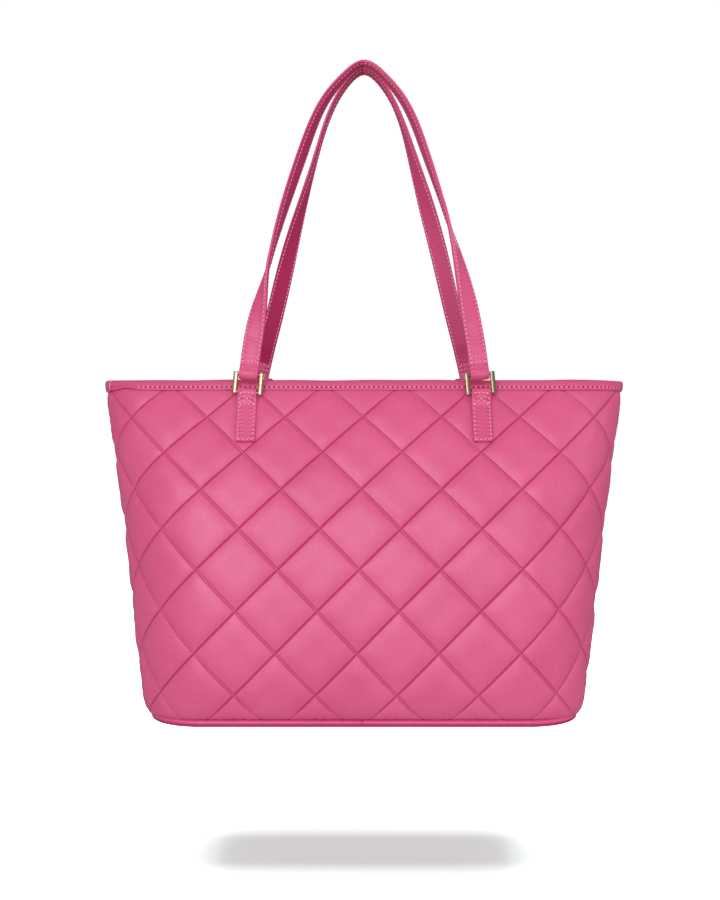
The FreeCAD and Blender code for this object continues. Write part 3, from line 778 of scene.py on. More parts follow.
def rounded_loop(half_x, half_y, corner, step=3.0):
    """Evenly spaced points round a rounded rectangle, and their outward normals."""
    quarter = (half_x - corner) + (half_y - corner) + corner * math.pi / 2
    count = int(round(4 * quarter / step))
    r = np.arange(count) / count * 4 * quarter
    turn = np.floor(r / quarter).astype(int)
    along = np.where(turn % 2 == 0, r - turn * quarter, (turn + 1) * quarter - r)
    flat = half_x - corner
    angle = np.clip((along - flat) / corner, 0, math.pi / 2)
    x = np.minimum(along, flat) + corner * np.sin(angle)
    y = (half_y - corner) + corner * np.cos(angle)
    y = y - np.maximum(along - flat - corner * math.pi / 2, 0)
    sign_x = np.where(turn <= 1, 1, -1)
    sign_y = np.where((turn == 0) | (turn == 3), -1, 1)
    normal = np.stack([sign_x * np.sin(angle), sign_y * np.cos(angle)], -1)
    return np.stack([sign_x * x, sign_y * y], -1), normal


def base_piping():
    """Covered cord round the base. Its cover's join shows at the middle of the front."""
    centre, normal = rounded_loop(BASE_HALF_LENGTH, BASE_HALF_DEPTH, BASE_CORNER, 1.6)
    turns = np.linspace(0, 2 * math.pi, 17)[:-1]
    from_join = np.abs(centre[:, 0] + 2.0) + np.where(centre[:, 1] < 0, 0, 100)
    order = np.arange(len(centre))
    radius = PIPING_RADIUS + 0.05 * np.sin(order * 0.9) - 0.35 * np.exp(-((from_join / 1.2) ** 2))
    level_part = centre[:, None, :] + normal[:, None, :] * (radius[:, None] * np.cos(turns))[..., None]
    height = PIPING_HEIGHT + radius[:, None] * np.sin(turns)
    rings = np.concatenate([level_part, height[..., None]], -1)
    piping = skin("base_piping_cord", rings, TRIM, closed=True)
    # Painted shade on the cord's underside; it is darker also at the cover's join.
    join = np.exp(-((from_join / 0.9) ** 2))
    underside_shade = 0.75 * smooth((-0.1 - np.sin(turns)) / 0.5)
    paint(piping, "crease", np.maximum(0.7 * join[:, None], underside_shade[None, :]).ravel())
    return piping


def base_skin():
    """Leatherette base, rolled under at its edge and flat below the board."""
    count = 300
    loops = []
    for inset, z in BASE_PROFILE:
        corner = max(BASE_CORNER - inset, 4)
        centre, _ = rounded_loop(BASE_HALF_LENGTH - inset, BASE_HALF_DEPTH - inset, corner)
        wanted = np.arange(count) / count * len(centre)
        points = read_along(wanted, np.arange(len(centre) + 1), np.concatenate([centre, centre[:1]]))
        loops.append(np.column_stack([points, np.full(count, z)]))
    base = skin("base_leather", np.array(loops), TRIM)
    # Painted shade: deep over the edge that rolls under, faint over the flat underside.
    rim = np.array([0.8 if z > 0.1 else 0.2 for _, z in BASE_PROFILE])
    paint(base, "crease", np.repeat(rim, count))
    return base


# ---- stitches ---------------------------------------------------------------------------------


def stitch_row(points, normals, pitch=STITCH_PITCH, radius=0.5, hole=0.42):
    """Sewn threads along a line, one to each pitch, with a dark mark of painted shade for the needle hole
    after each.
    """
    points, normals = np.asarray(points, float), unit(np.asarray(normals, float))
    run = run_along(points)
    count = max(int(run[-1] / pitch), 1)
    pitch = run[-1] / count
    threads = []
    hole_shades = []
    for i in range(count):
        start, end = (read_along((i + share) * pitch, run, points) for share in (0.25, 0.75))
        normal = unit(read_along((i + 0.5) * pitch, run, normals))
        threads.append(capsule(start, end, normal, radius, THREAD_SINK))
        at = read_along((i + 1) * pitch, run, points)
        forward = unit(end - start) * HOLE_HALF_LENGTH
        hole_shades.append(capsule(at - forward, at + forward, normal, hole, HOLE_SINK))
    return threads, hole_shades


def capsule(start, end, normal, radius, sink):
    """Rounded thread between two points, pressed a little into the surface."""
    along = unit(end - start)
    across = unit(np.cross(along, normal))
    rings = ((-0.9, 0.35), (-0.45, 0.85), (0, 1.0), (0, 1.0), (0.45, 0.85), (0.9, 0.35))
    turns = np.arange(6) / 6 * 2 * math.pi
    vertices = []
    for k, (reach, share) in enumerate(rings):
        centre = (start if k < 3 else end) + along * reach * radius + normal * (radius * 0.35 - sink)
        ring = centre + share * radius * (
            np.cos(turns)[:, None] * across + 0.8 * np.sin(turns)[:, None] * normal
        )
        vertices.append(ring)
    return np.concatenate(vertices), tube_faces(6, 6)


class Sewing:
    """Gathers the stitches of one body and makes them into one piece of thread and one of the needle holes'
    painted shade.
    """

    def __init__(self, body, label="", thread_material=None, hole_shade_material=None):
        self.body = body
        self.label = label
        self.materials = thread_material or STITCH, hole_shade_material or HOLE_SHADE
        self.threads = []
        self.hole_shades = []

    def row(self, points, normals, **shape):
        threads, hole_shades = stitch_row(points, normals, **shape)
        self.threads += threads
        self.hole_shades += hole_shades

    def make(self):
        kinds = (("threads", self.threads), ("hole_shades", self.hole_shades))
        for (kind, parts), material in zip(kinds, self.materials):
            piece = join_skins(f"{self.body}{self.label}_{kind}", parts, material)
            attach(piece, self.body)


# ---- rim binding ------------------------------------------------------------------------------


def rim_binding():
    """Strip folded over the edge of the mouth. One end laps over the other at a front corner."""
    run = half_run(288.0)
    count = int(4 * run / 1.9) // 2 * 2
    s = (np.arange(count) / count * 4 - 2) * run
    join = int(np.argmin(np.abs(s - BINDING_JOIN)))
    s[join] = BINDING_JOIN
    s[join + 1] = BINDING_JOIN + 0.25
    past = s - BINDING_JOIN
    lap = np.where((past > 0.1) & (past < 8), 0.75, 0.0)
    lap = np.where((past >= 8) & (past < 14), 0.3, lap)
    wave = 0.22 * np.sin(s / 23.0) + 0.16 * np.sin(s / 9.7 + 1.3)
    gape = 2.0 * np.exp(-(((s - BINDING_GAPE) / 9) ** 2)) - 1.3 * ((past < 0) & (past > -14))
    rings = []
    for depth, z in BINDING_PROFILE:
        whole = 2 * half_run(z)
        along = s / (2 * run) * whole
        base = np.where(np.abs(along) <= whole, along, 0)
        out = depth - (lap if depth < 0 else 0) - 0.25 * wave
        point = wall_point(base, z) - out[:, None] * level(wall_normal(base, z))
        point[:, 2] += wave * (z - BINDING_BOTTOM) / 9
        if depth < 0:
            point[:, 2] += gape * smooth((288.5 - z) / 3)
        rings.append(point)
    binding = skin("rim_binding_strip", np.stack(rings, 1), TRIM, closed=True)
    # Painted shade along the strip's lower edges and along its stitch lines; it is darker also at the lapped
    # join.
    shade = [0.45 if z < 283.8 or abs(z - STITCH_LINE) < 0.1 else 0.0 for _, z in BINDING_PROFILE]
    at_join = np.exp(-((past / 0.8) ** 2))[:, None] * 0.6
    paint(binding, "crease", np.maximum(np.array(shade)[None, :], at_join).ravel())
    return binding


def sew_binding(sewing):
    """One row outside, left open where the strip laps, and one inside, all the way round."""
    run = half_run(STITCH_LINE)
    outside_row = (-1.7, 1, BINDING_JOIN + 17, BINDING_JOIN - 4 + 4 * run)
    inside_row = (5.85, -1, -2 * run, 2 * run)
    for depth, sign, start, end in (outside_row, inside_row):
        s = np.linspace(start, end, 700)
        normal = level(wall_normal(s, STITCH_LINE))
        point = wall_point(s, STITCH_LINE) - normal * depth
        sewing.row(point, sign * normal, pitch=BINDING_PITCH, radius=0.55, hole=0.9)


def lap_edge():
    """Cut edge of the binding's outer end, paler than its face."""
    heights = np.linspace(284.6, 292.3, 12)
    s = np.full(12, BINDING_JOIN + 0.2)
    rings = []
    for depth, shift in ((-3.0, -0.5), (-3.35, -0.1), (-3.35, 0.5), (-3.0, 0.9), (-2.2, 0.2)):
        out = depth + 1.5 * smooth((heights - 290) / 2.5)
        point = wall_point(s + shift, 287.0) - level(wall_normal(s + shift, 287.0)) * out[:, None]
        point[:, 2] = heights
        rings.append(point)
    return skin("binding_cut_edge", np.stack(rings, 1), STITCH)


# ---- straps -----------------------------------------------------------------------------------


def strap(name, points, breadths, normals, thickness, pucker=0.28, inner_painted_shade=0.0):
    """Two-ply strap along a line, with stitched edges that pucker between the stitches. It is painted with
    shade in the puckers' valleys, along its stitch lines and, as much as it is given, over its inner face.
    """
    across = [-u for u in STRAP_ACROSS] + [0] + list(STRAP_ACROSS[::-1])
    run = run_along(points)
    rings = []
    shades = []
    for face in (1, -1):
        for u in across[::face]:
            share = STRAP_SWELL.get(abs(u), 1.0)
            uneven = 0.75 + 0.35 * np.sin(run / 6.1 + (1.7 if u > 0 else 0.2) * face)
            ripple = np.cos((run / STITCH_PITCH + 0.12 * u) * 2 * math.pi) * uneven
            rippled = pucker * ripple * math.exp(-(((abs(u) - 0.6) / 0.2) ** 2))
            offset = face * (thickness / 2 * share + rippled)
            rings.append(points + breadths * (u * STRAP_WIDTH / 2) + normals * offset[:, None])
            # Painted shade in the valleys between the puckers, and along the stitch lines.
            valley_shade = np.clip(-ripple, 0, 1) * math.exp(-(((abs(u) - 0.62) / 0.17) ** 2)) * pucker
            plain = inner_painted_shade if face < 0 else 0.0
            shades.append(np.maximum(valley_shade, 0.3 if abs(u) == STITCH_INSET else plain))
    piece = skin(name, np.stack(rings, 1), TRIM)
    paint(piece, "crease", np.stack(shades, 1).ravel())
    return piece


def edge_rows(sewing, points, breadths, normals, thickness, faces=(1, -1)):
    """Rows of stitches along both edges of a strap, on the faces named."""
    thickness = np.broadcast_to(thickness, len(points))[:, None]
    for face in faces:
        for edge in (-1, 1):
            line = points + breadths * (edge * STITCH_HALF_WIDTH)
            sewing.row(line + normals * (face * thickness / 2 * 0.86), face * normals)


def ring_frame(side, sign):
    """Middle of a ring's lower bar, its way up and its way across. The front is side -1.

    Each ring is turned a little in its own plane: its top leans to the middle of the bag.
    """
    centre = np.array([sign * RING_X, side * (float(half_depth(RING_HEIGHT)) + RING_STAND), RING_HEIGHT])
    lean = math.radians(RING_LEAN)
    up = np.array([0, -side * math.sin(lean), math.cos(lean)])
    across = np.array([1.0, 0, 0])
    turn = math.radians(-sign * RING_TURN)
    turned_up = up * math.cos(turn) + across * math.sin(turn)
    return centre, turned_up, across * math.cos(turn) - up * math.sin(turn)


def metal_ring(name, side, sign):
    """Rectangular ring: flat sides with bevelled edges, and round bars for the leather to fold over."""
    centre, up, across = ring_frame(side, sign)
    facing = np.cross(across, up)
    middle = centre + up * RING_BAR_SPACING / 2
    half_height = RING_BAR_SPACING / 2
    parts = []
    for sx in (-1, 1):
        rings = []
        for reach, inset in ((-1, 0.55), (-0.985, 0.2), (-0.95, 0), (0.95, 0), (0.985, 0.2), (1, 0.55)):
            section = rounded_section(RING_SIDE_WIDTH / 2 - inset, RING_SIDE_DEPTH / 2 - inset, 0.95, 4)
            spot = middle + across * sx * RING_SIDE_X + up * reach * (half_height + 1.8)
            rings.append([spot + across * u + facing * v for u, v in section])
        parts.append((np.concatenate(rings), tube_faces(6, 20)))
    turns = np.arange(20) / 20 * 2 * math.pi
    for sz in (-1, 1):
        spot = middle + up * sz * half_height
        rim = np.cos(turns)[:, None] * up + np.sin(turns)[:, None] * facing
        rings = [spot + across * x + RING_BAR_RADIUS * rim for x in (-RING_SIDE_X, -4, 4, RING_SIDE_X)]
        parts.append((np.concatenate(rings), tube_faces(4, 20)))
    ring = tidy_normals(join_skins(name, parts, GOLD))
    ring.data.set_sharp_from_angle(angle=math.radians(28))
    return ring


def folded_path():
    """Path of a handle's ply round a bar, as (outward, along) pairs about the bar's middle.

    It comes down on the outer side, goes under the bar and up on the inner side.
    """
    turns = np.radians(np.linspace(24, -204, 36))
    loop = HANDLE_LOOP_RADIUS * np.stack([np.cos(turns), np.sin(turns)], -1)
    start = np.array([PLY_SHIFT, FOLD_START])
    end = np.array([-PLY_SHIFT, FOLD_START])
    share = np.linspace(0, 1, 14)[:, None]
    coming = start + (loop[0] - start) * share[:-1]
    going = loop[-1] + (end - loop[-1]) * share[1:]
    return relax(np.concatenate([coming, loop, going]), 4)


def tab(side, sign, sewing):
    """Leatherette strip sewn to the wall, folded over the ring's lower bar and down behind itself."""
    label = f"{'front' if side < 0 else 'back'}_{'left' if sign < 0 else 'right'}"
    heights = np.linspace(TAB_FOOT, TAB_FOLD_START, 70)
    wall = half_depth(heights)
    slope = np.gradient(wall, heights)
    outward = unit(np.stack([np.ones_like(slope), -slope], -1))
    base = np.stack([wall, heights], -1)
    front = base + outward * (TAB_LIFT + 1.5 * TAB_PLY)
    behind = base + outward * (TAB_LIFT + 0.5 * TAB_PLY)
    bar = np.array([float(half_depth(RING_HEIGHT)) + RING_STAND, RING_HEIGHT])
    turns = np.radians(np.linspace(-16, 196, 40))
    loop = bar + TAB_LOOP_RADIUS * np.stack([np.cos(turns), np.sin(turns)], -1)
    share = np.linspace(0, 1, 14)[1:-1, None]
    rising = front[-1] + (loop[0] - front[-1]) * share
    falling = loop[-1] + (behind[-1] - loop[-1]) * share
    path = relax(np.concatenate([front, rising, loop, falling, behind[::-1]]), 12)
    tangent = unit(np.gradient(path, axis=0))
    count = len(path)
    points = np.column_stack([np.full(count, sign * RING_X), side * path[:, 0], path[:, 1]])
    normals = np.column_stack([np.zeros(count), side * tangent[:, 1], -tangent[:, 0]])
    near_bar = smooth((path[:, 1] - 268) / 11)[:, None]
    breadths = unit(np.array([1.0, 0, 0]) * (1 - near_bar) + ring_frame(side, sign)[2] * near_bar)
    strip = strap(f"{label}_tab_strip", points, breadths, normals, TAB_PLY, pucker=TAB_PUCKER)
    on_wall = slice(1, len(front) + 8)
    edge_rows(sewing, points[on_wall], breadths[on_wall], normals[on_wall], TAB_PLY, faces=(1,))
    boxed_cross(sewing, points[: count // 2], normals[: count // 2])
    return strip, label


def boxed_cross(sewing, points, normals):
    """Stitches of a tab: a row across its foot, and a box with a cross near its top."""
    order = np.arange(len(points))
    foot = TAB_FOOT + 2.2
    share = np.linspace(0, 1, 16)
    rows = ((foot, foot, -1, 1), (BOX_LOW, BOX_LOW, -1, 1), (BOX_HIGH, BOX_HIGH, -1, 1))
    for low, high, start, end in (*rows, (BOX_LOW, BOX_HIGH, -1, 1), (BOX_LOW, BOX_HIGH, 1, -1)):
        at = np.interp(low + (high - low) * share, points[:, 2], order)
        spot = read_along(at, order, points)
        normal = read_along(at, order, normals)
        spot[:, 0] += (start + (end - start) * share) * STITCH_HALF_WIDTH
        sewing.row(spot + normal * TAB_PLY * 0.46, normal, pitch=3.1)


# ---- handles ----------------------------------------------------------------------------------


def natural_spline(points, count):
    """Evenly spaced points along the natural cubic spline through some points."""
    points = np.asarray(points, float)
    knots = run_along(points)
    n = len(points)
    step = np.diff(knots)
    matrix = np.eye(n)
    right = np.zeros_like(points)
    for i in range(1, n - 1):
        matrix[i, i - 1 : i + 2] = step[i - 1], 2 * (step[i - 1] + step[i]), step[i]
        right[i] = 6 * ((points[i + 1] - points[i]) / step[i] - (points[i] - points[i - 1]) / step[i - 1])
    bend = np.linalg.solve(matrix, right)

    def at(u):
        i = np.clip(np.searchsorted(knots, u, side="right") - 1, 0, n - 2)
        h = step[i][:, None]
        a = (knots[i + 1] - u)[:, None] / h
        b = 1 - a
        curve = (a**3 - a) * bend[i] + (b**3 - b) * bend[i + 1]
        return a * points[i] + b * points[i + 1] + curve * h**2 / 6

    fine = np.linspace(0, knots[-1], 6000)
    length = run_along(at(fine))
    return at(np.interp(np.linspace(0, length[-1], count), length, fine)), length[-1]


def twist_angle(z, flat_until, edge_on, overturn):
    """How far a strap has turned edge-on: a right angle where it is flat, none where it is edge-on."""
    climbing = 90 * (1 - smooth((z - flat_until) / (edge_on - flat_until)))
    beyond = np.clip((z - edge_on) / (HANDLE_TOP - edge_on), 0, 1)
    return np.radians(climbing - overturn * np.sin(math.pi * beyond))


def handle_line(arch, twists):
    """The front handle's middle line: its points, length, tangents, normals and breadths."""
    frames = [ring_frame(-1, sign) for sign in (-1, 1)]
    left, right = (centre + up * RING_BAR_SPACING for centre, up, _ in frames)
    legs = [(left[0], left[2]), *[(-x, z) for x, z in arch[:0:-1]], *arch, (right[0], right[2])]
    lean = (-HANDLE_TOP_Y - left[1]) / (HANDLE_TOP - left[2])
    centres, length = natural_spline([(x, left[1] + lean * (z - left[2]), z) for x, z in legs], 900)
    run = np.linspace(0, length, len(centres))
    tangents = unit(np.gradient(centres, axis=0))
    across = unit(np.array([0, 1.0, 0]) - tangents * tangents[:, 1:2])
    outward = np.cross(tangents, across)
    on_left = centres[:, 0] < 0
    turn = np.where(on_left, *[twist_angle(centres[:, 2], *twist) for twist in twists])
    normals = outward * np.cos(turn)[:, None] - across * np.sin(turn)[:, None]
    breadths = np.cross(tangents, normals)
    bar = np.where(on_left[:, None], frames[0][2], frames[1][2])
    bar = np.where((np.einsum("ij,ij->i", breadths, bar) < 0)[:, None], -bar, bar)
    share = (1 - smooth(np.minimum(run, length - run) / FOLD_LENGTH))[:, None]
    breadths = unit(breadths * (1 - share) + bar * share)
    normals = unit(np.cross(breadths, tangents))
    return centres, length, tangents, normals, np.cross(tangents, normals)


def handle_path(length):
    """Path of the strap beside that line, as (outward, along) pairs, with both ends folded back.

    Also returns how many points of an end are in the ply that comes back, and in the whole fold.
    """
    fold = folded_path()
    back_ply = np.column_stack([np.full(50, -PLY_SHIFT), np.linspace(RETURN_LENGTH, FOLD_START + 0.3, 50)])
    up_ply = np.column_stack([np.full(40, PLY_SHIFT), np.linspace(FOLD_START + 0.3, MERGE_START - 0.4, 40)])
    merge = np.linspace(MERGE_START, MERGE_END, 30)
    closing = smooth((merge - MERGE_START) / (MERGE_END - MERGE_START))
    merging = np.column_stack([PLY_SHIFT * (1 - closing), merge])
    left_end = np.concatenate([back_ply, fold[::-1], up_ply, merging])
    body = np.linspace(MERGE_END + 0.4, length - MERGE_END - 0.4, 620)
    middle = np.column_stack([np.zeros(len(body)), body])
    right_end = left_end[::-1] * (1, -1) + (0, length)
    return np.concatenate([left_end, middle, right_end]), len(back_ply), len(back_ply) + len(fold)


def handle(name, side, arch, twists, sewing):
    """Two-ply strap in an arch, flat at both ends and edge-on at its top, folded round its rings."""
    centres, length, *directions = handle_line(arch, twists)
    path, returning, folded = handle_path(length)
    count = len(path)
    order = np.arange(count)
    run = np.linspace(0, length, len(centres))
    spot = read_along(path[:, 1], run, centres)
    tangent, normal, breadth = (unit(read_along(path[:, 1], run, v)) for v in directions)
    slope = unit(np.gradient(path, axis=0))
    beyond = np.where(path[:, 1] < 0, path[:, 1], np.maximum(path[:, 1] - length, 0))
    mirror = (1, -side, 1)
    points = (spot + tangent * beyond[:, None] + normal * path[:, :1]) * mirror
    facing = (normal * slope[:, 1:] - tangent * slope[:, :1]) * mirror
    breadth = breadth * mirror
    from_bar = np.minimum(path[:, 1], length - path[:, 1])
    in_fold = np.minimum(order, count - 1 - order) < folded
    growth = np.where(in_fold, 0, smooth((from_bar - 18) / 18))
    thickness = HANDLE_PLY + (HANDLE_THICKNESS - HANDLE_PLY) * growth
    shape = points, breadth, facing, thickness
    # Painted shade over the inner face, deeper on the left legs than on the right ones.
    piece = strap(name, *shape, inner_painted_shade=np.where(points[:, 0] < 0, *INNER_FACE_PAINTED_SHADES))
    edge_rows(sewing, *[v[folded : count - folded] for v in shape])
    for part in (slice(2, returning), slice(count - returning, count - 2)):
        edge_rows(sewing, *[v[part] for v in shape], faces=(1,))
    across = np.linspace(-STITCH_HALF_WIDTH, STITCH_HALF_WIDTH, 12)[:, None]
    for row in CROSS_ROWS:
        for on_face in (path[:, 0] > 0, path[:, 0] < 0):
            for on_end in (order < count / 2, order >= count / 2):
                at = int(np.argmin(np.where(on_face & on_end, np.abs(from_bar - row), 99)))
                line = points[at] + breadth[at] * across + facing[at] * thickness[at] * 0.46
                sewing.row(line, np.tile(facing[at], (12, 1)), pitch=2.9)
    return piece


# ---- inside -----------------------------------------------------------------------------------


def cloth_grid(name, grid, material, round_about=False, cap=False, thickness=0.5):
    """Cloth over a grid of points shaped (rows, columns, 3), given a thickness. NaN leaves a hole."""
    rows, columns = grid.shape[:2]
    faces = []
    for i in range(rows - 1):
        for j in range(columns if round_about else columns - 1):
            k = (j + 1) % columns
            corners = (i, j), (i, k), (i + 1, k), (i + 1, j)
            if not any(math.isnan(grid[c][0]) for c in corners):
                faces.append([r * columns + c for r, c in corners])
    if cap:
        faces.append([(rows - 1) * columns + j for j in range(columns)])
    used = sorted({i for face in faces for i in face})
    number = {old: new for new, old in enumerate(used)}
    points = grid.reshape(-1, 3)[used]
    piece = make_object(name, points, [[number[i] for i in face] for face in faces], material)
    tidy_normals(piece)
    solidify = piece.modifiers.new("thickness", "SOLIDIFY")
    solidify.thickness = thickness * MM
    solidify.offset = 0
    return piece


def lining_depth(z):
    """Distance of the lining's inner face from the wall's smooth form."""
    return LINING_DEPTH - LINING_LIFT * smooth((z - LINING_LIFT_START) / (LINING_TOP - LINING_LIFT_START))


def lining_folds(s, z):
    """Slack of the lining, inwards."""
    slack = smooth((LINING_TOP - z) / 40) * smooth((z - 8) / 30)
    folds = 1.1 * np.sin(s / 13 + 0.8 * np.sin(z / 40)) + 0.8 * np.sin(s / 29 - z / 47 + 2)
    folds += 0.5 * np.sin(z / 17 + s / 60)
    near_zip = smooth((np.abs(np.abs(s) - 2 * half_run(z)) - ZIP_HALF_LENGTH - 4) / 14)
    away = np.maximum(near_zip, smooth((np.abs(z - ZIP_HEIGHT) - 14) / 14))
    return np.maximum(folds + 0.9, 0) * slack * away


def lining_walls():
    """Walls of the lining, left open at the zip's window and turned in at their foot."""
    steps = (LINING_TOP, 216, -4), (214, 190, -1.375), (188, 13, -4.5)
    rows = np.concatenate([*[np.arange(*step) for step in steps], (12.0, 9.0)])
    share = np.linspace(-1, 1, 360, endpoint=False)
    share = np.unique(np.concatenate([share, [-WINDOW_SHARE, WINDOW_SHARE]]))
    grid = []
    for z in rows:
        s = share * 2 * half_run(z, LINING_DEPTH)
        depth = lining_depth(z) + lining_folds(s, z)
        point = wall_point(s, z, LINING_DEPTH)
        point = point - wall_normal(s, z, LINING_DEPTH) * (depth - LINING_DEPTH)[:, None]
        if abs(z - ZIP_HEIGHT) < ZIP_WINDOW:
            point[(point[:, 1] > 0) & (np.abs(point[:, 0]) < ZIP_HALF_LENGTH)] = np.nan
        grid.append(point)
    for depth, z in ((8.2, 6.6), (10.5, 5.3), (14, 4.95)):
        grid.append(wall_point(share * 2 * half_run(12, depth), 12, depth) * (1, 1, 0) + (0, 0, z))
    return cloth_grid("lining_walls", np.array(grid), LINING, round_about=True)


def lining_floor():
    """Floor of the lining, in low waves over the board and flat in its middle."""
    share = np.linspace(-1, 1, 240, endpoint=False)
    grid = []
    for depth in (12, 15, 20, 28, 38, 50):
        ring = wall_point(share * 2 * half_run(12, depth), 12, depth)
        waves = 1 + np.sin(ring[:, 0] / 23 + 1) * np.cos(ring[:, 1] / 19)
        ring[:, 2] = LINING_FLOOR + 0.35 * waves * smooth((depth - 12) / 8)
        grid.append(ring)
    grid[-1][:, 2] = LINING_FLOOR + 0.2
    return cloth_grid("lining_floor", np.array(grid), LINING, round_about=True, cap=True)


def facing(sewing):
    """Band of leatherette inside the mouth, turned under at its bottom edge and sewn to the lining."""
    share = np.linspace(-1, 1, 420, endpoint=False)
    rings = []
    for depth, z in FACING_PROFILE:
        s = share * 2 * half_run(z, depth)
        wave = (0.14 * np.sin(s / 14) + 0.1 * np.sin(s / 5.3 + 1)) * (1 if depth > 4 else 0)
        rings.append(wall_point(s, z, depth) - wall_normal(s, z, depth) * wave[:, None])
    band = skin("mouth_facing_band", np.stack(rings, 1), TRIM, closed=True)
    # Painted shade along the stitch line; it is darker also at the side seams.
    from_side = np.abs(np.abs(share) - 0.5) * 4 * half_run(270.0, 4.0)
    seam = 0.8 * np.exp(-(from_side**2))[:, None]
    shade = np.array([0.4 if z == FACING_STITCH else 0.0 for _, z in FACING_PROFILE])
    paint(band, "crease", np.maximum(shade[None, :], seam).ravel())
    s = np.linspace(-2, 2, 700) * half_run(FACING_STITCH, 5.0)
    normal = wall_normal(s, FACING_STITCH, 5.0)
    sewing.row(wall_point(s, FACING_STITCH, 5.0) - normal * 0.05, -normal)
    return band


def on_zip(x, out, up):
    """Point in the zip's own frame: along it, out through the lining, and up the wall."""
    x, out, up = np.broadcast_arrays(*[np.asarray(v, float) for v in (x, out, up)])
    lean = math.atan(half_depth(ZIP_HEIGHT - 0.5) - half_depth(ZIP_HEIGHT + 0.5))
    y = float(half_depth(ZIP_HEIGHT)) - LINING_DEPTH - LINING_THICKNESS
    y = y + out * math.cos(lean) - up * math.sin(lean)
    return np.stack([x, y, ZIP_HEIGHT + out * math.sin(lean) + up * math.cos(lean)], -1)


def zip_facing():
    """Way that the zip's shown face looks."""
    return on_zip(0, -1, 0) - on_zip(0, 0, 0)


def zip_tape(name, up):
    x = np.linspace(-ZIP_HALF_LENGTH - 5, ZIP_HALF_LENGTH + 5, 60)
    rows = np.linspace(1.1, 12.7, 7) * up
    grid = np.array([on_zip(x, 1.4 + 0.05 * np.sin(x / 7), row) for row in rows])
    return cloth_grid(name, grid, TAPE)


def zip_coil(name, up):
    """Row of nylon teeth, each a small loop that stands across the tape's edge."""
    teeth = []
    count = int((2 * ZIP_HALF_LENGTH - 4) / TOOTH_PITCH)
    for i in range(count + 1):
        x = (i - count / 2 + up / 4) * TOOTH_PITCH
        teeth.append(
            capsule(on_zip(x, 0.35, up * 0.95), on_zip(x + 0.25, 0.55, up * 2.9), zip_facing(), 0.62, 0.2)
        )
    ends = [on_zip(x, 0.75, up * 2.7) for x in (-ZIP_HALF_LENGTH + 1.5, ZIP_HALF_LENGTH - 1.5)]
    teeth.append(capsule(*ends, zip_facing(), 0.5, 0.1))
    return join_skins(name, teeth, COIL)


def on_slip_pocket(x, z, lift=0.0):
    """Point of the slip pocket's slack cloth, or of something that lies on it."""
    slack = SLIP_SLACK * (1 - (x / SLIP_HALF_WIDTH) ** 2) * smooth((z - SLIP_BOTTOM) / 90)
    ripple = 0.35 * np.sin(x / 11 + 1) * smooth((z - SLIP_BOTTOM - 5) / 30)
    depth = LINING_DEPTH + LINING_THICKNESS + 1.3 + slack + np.maximum(ripple, 0) * (slack > 0.2)
    point = np.stack([x, depth - half_depth(z), np.full(len(x), z)], -1)
    lean = math.radians(15)
    return point + np.array([0, math.cos(lean), math.sin(lean)]) * lift


def slip_pocket(sewing):
    """Open pocket on the front lining: a slack panel with a leatherette hem along its top."""
    x = np.linspace(-SLIP_HALF_WIDTH, SLIP_HALF_WIDTH, 65)
    grid = [on_slip_pocket(x, z) for z in np.linspace(SLIP_BOTTOM, SLIP_TOP, 42)]
    panel = cloth_grid("slip_pocket_cloth", np.array(grid), LINING)
    rings = np.stack([on_slip_pocket(x, z, lift) for lift, z in HEM_PROFILE], 1)
    hem = skin("slip_pocket_binding", rings, TRIM)
    # Painted shade in the hem's two creases.
    paint(hem, "crease", np.tile([0.4 if z in (199.6, 202.0) else 0.0 for _, z in HEM_PROFILE], len(x)))
    sewing.row(on_slip_pocket(x, 202.2, 0.85), np.tile([0, 1, 0.25], (len(x), 1)))
    return panel, hem


def sew_lining(sewing):
    """Dark stitches round the zip's window, and down the sides and along the foot of the slip pocket."""
    length, height = ZIP_HALF_LENGTH + 2.5, ZIP_WINDOW + 2.5
    corners = [(-length, -height), (length, -height), (length, height), (-length, height)]
    share = np.linspace(0, 1, 40)
    rows = []
    for (x0, up0), (x1, up1) in zip(corners, corners[1:] + corners[:1]):
        rows.append((on_zip(x0 + (x1 - x0) * share, -0.35, up0 + (up1 - up0) * share), zip_facing()))
    low, high, side = SLIP_BOTTOM + 2, SLIP_TOP - 2, SLIP_HALF_WIDTH - 2
    for x0, z0, x1, z1 in ((-side, low, -side, high), (side, low, side, high), (-side, low, side, low)):
        z = z0 + (z1 - z0) * share
        y = LINING_DEPTH + LINING_THICKNESS + 1.9 - half_depth(z)
        rows.append((np.column_stack([x0 + (x1 - x0) * share, y, z]), (0, 1.0, 0)))
    for line, normal in rows:
        sewing.row(line, np.tile(normal, (40, 1)), pitch=3.0, radius=0.35)


def pouch():
    """Cloth pouch behind the zip, hanging between the lining and the wall."""
    x = np.linspace(-POUCH_HALF_WIDTH, POUCH_HALF_WIDTH, 50)
    bottom, top = ZIP_HEIGHT - POUCH_DROP, ZIP_HEIGHT + 12
    grid = []
    for z in np.linspace(bottom, top, 36):
        depth = 5.0 - 0.7 * (1 - (x / 98) ** 2) * np.sin(math.pi * (z - bottom) / (top - bottom))
        grid.append(np.stack([x, float(half_depth(z)) - depth, np.full(len(x), z)], -1))
    return cloth_grid("zip_pocket_pouch", np.array(grid), LINING)


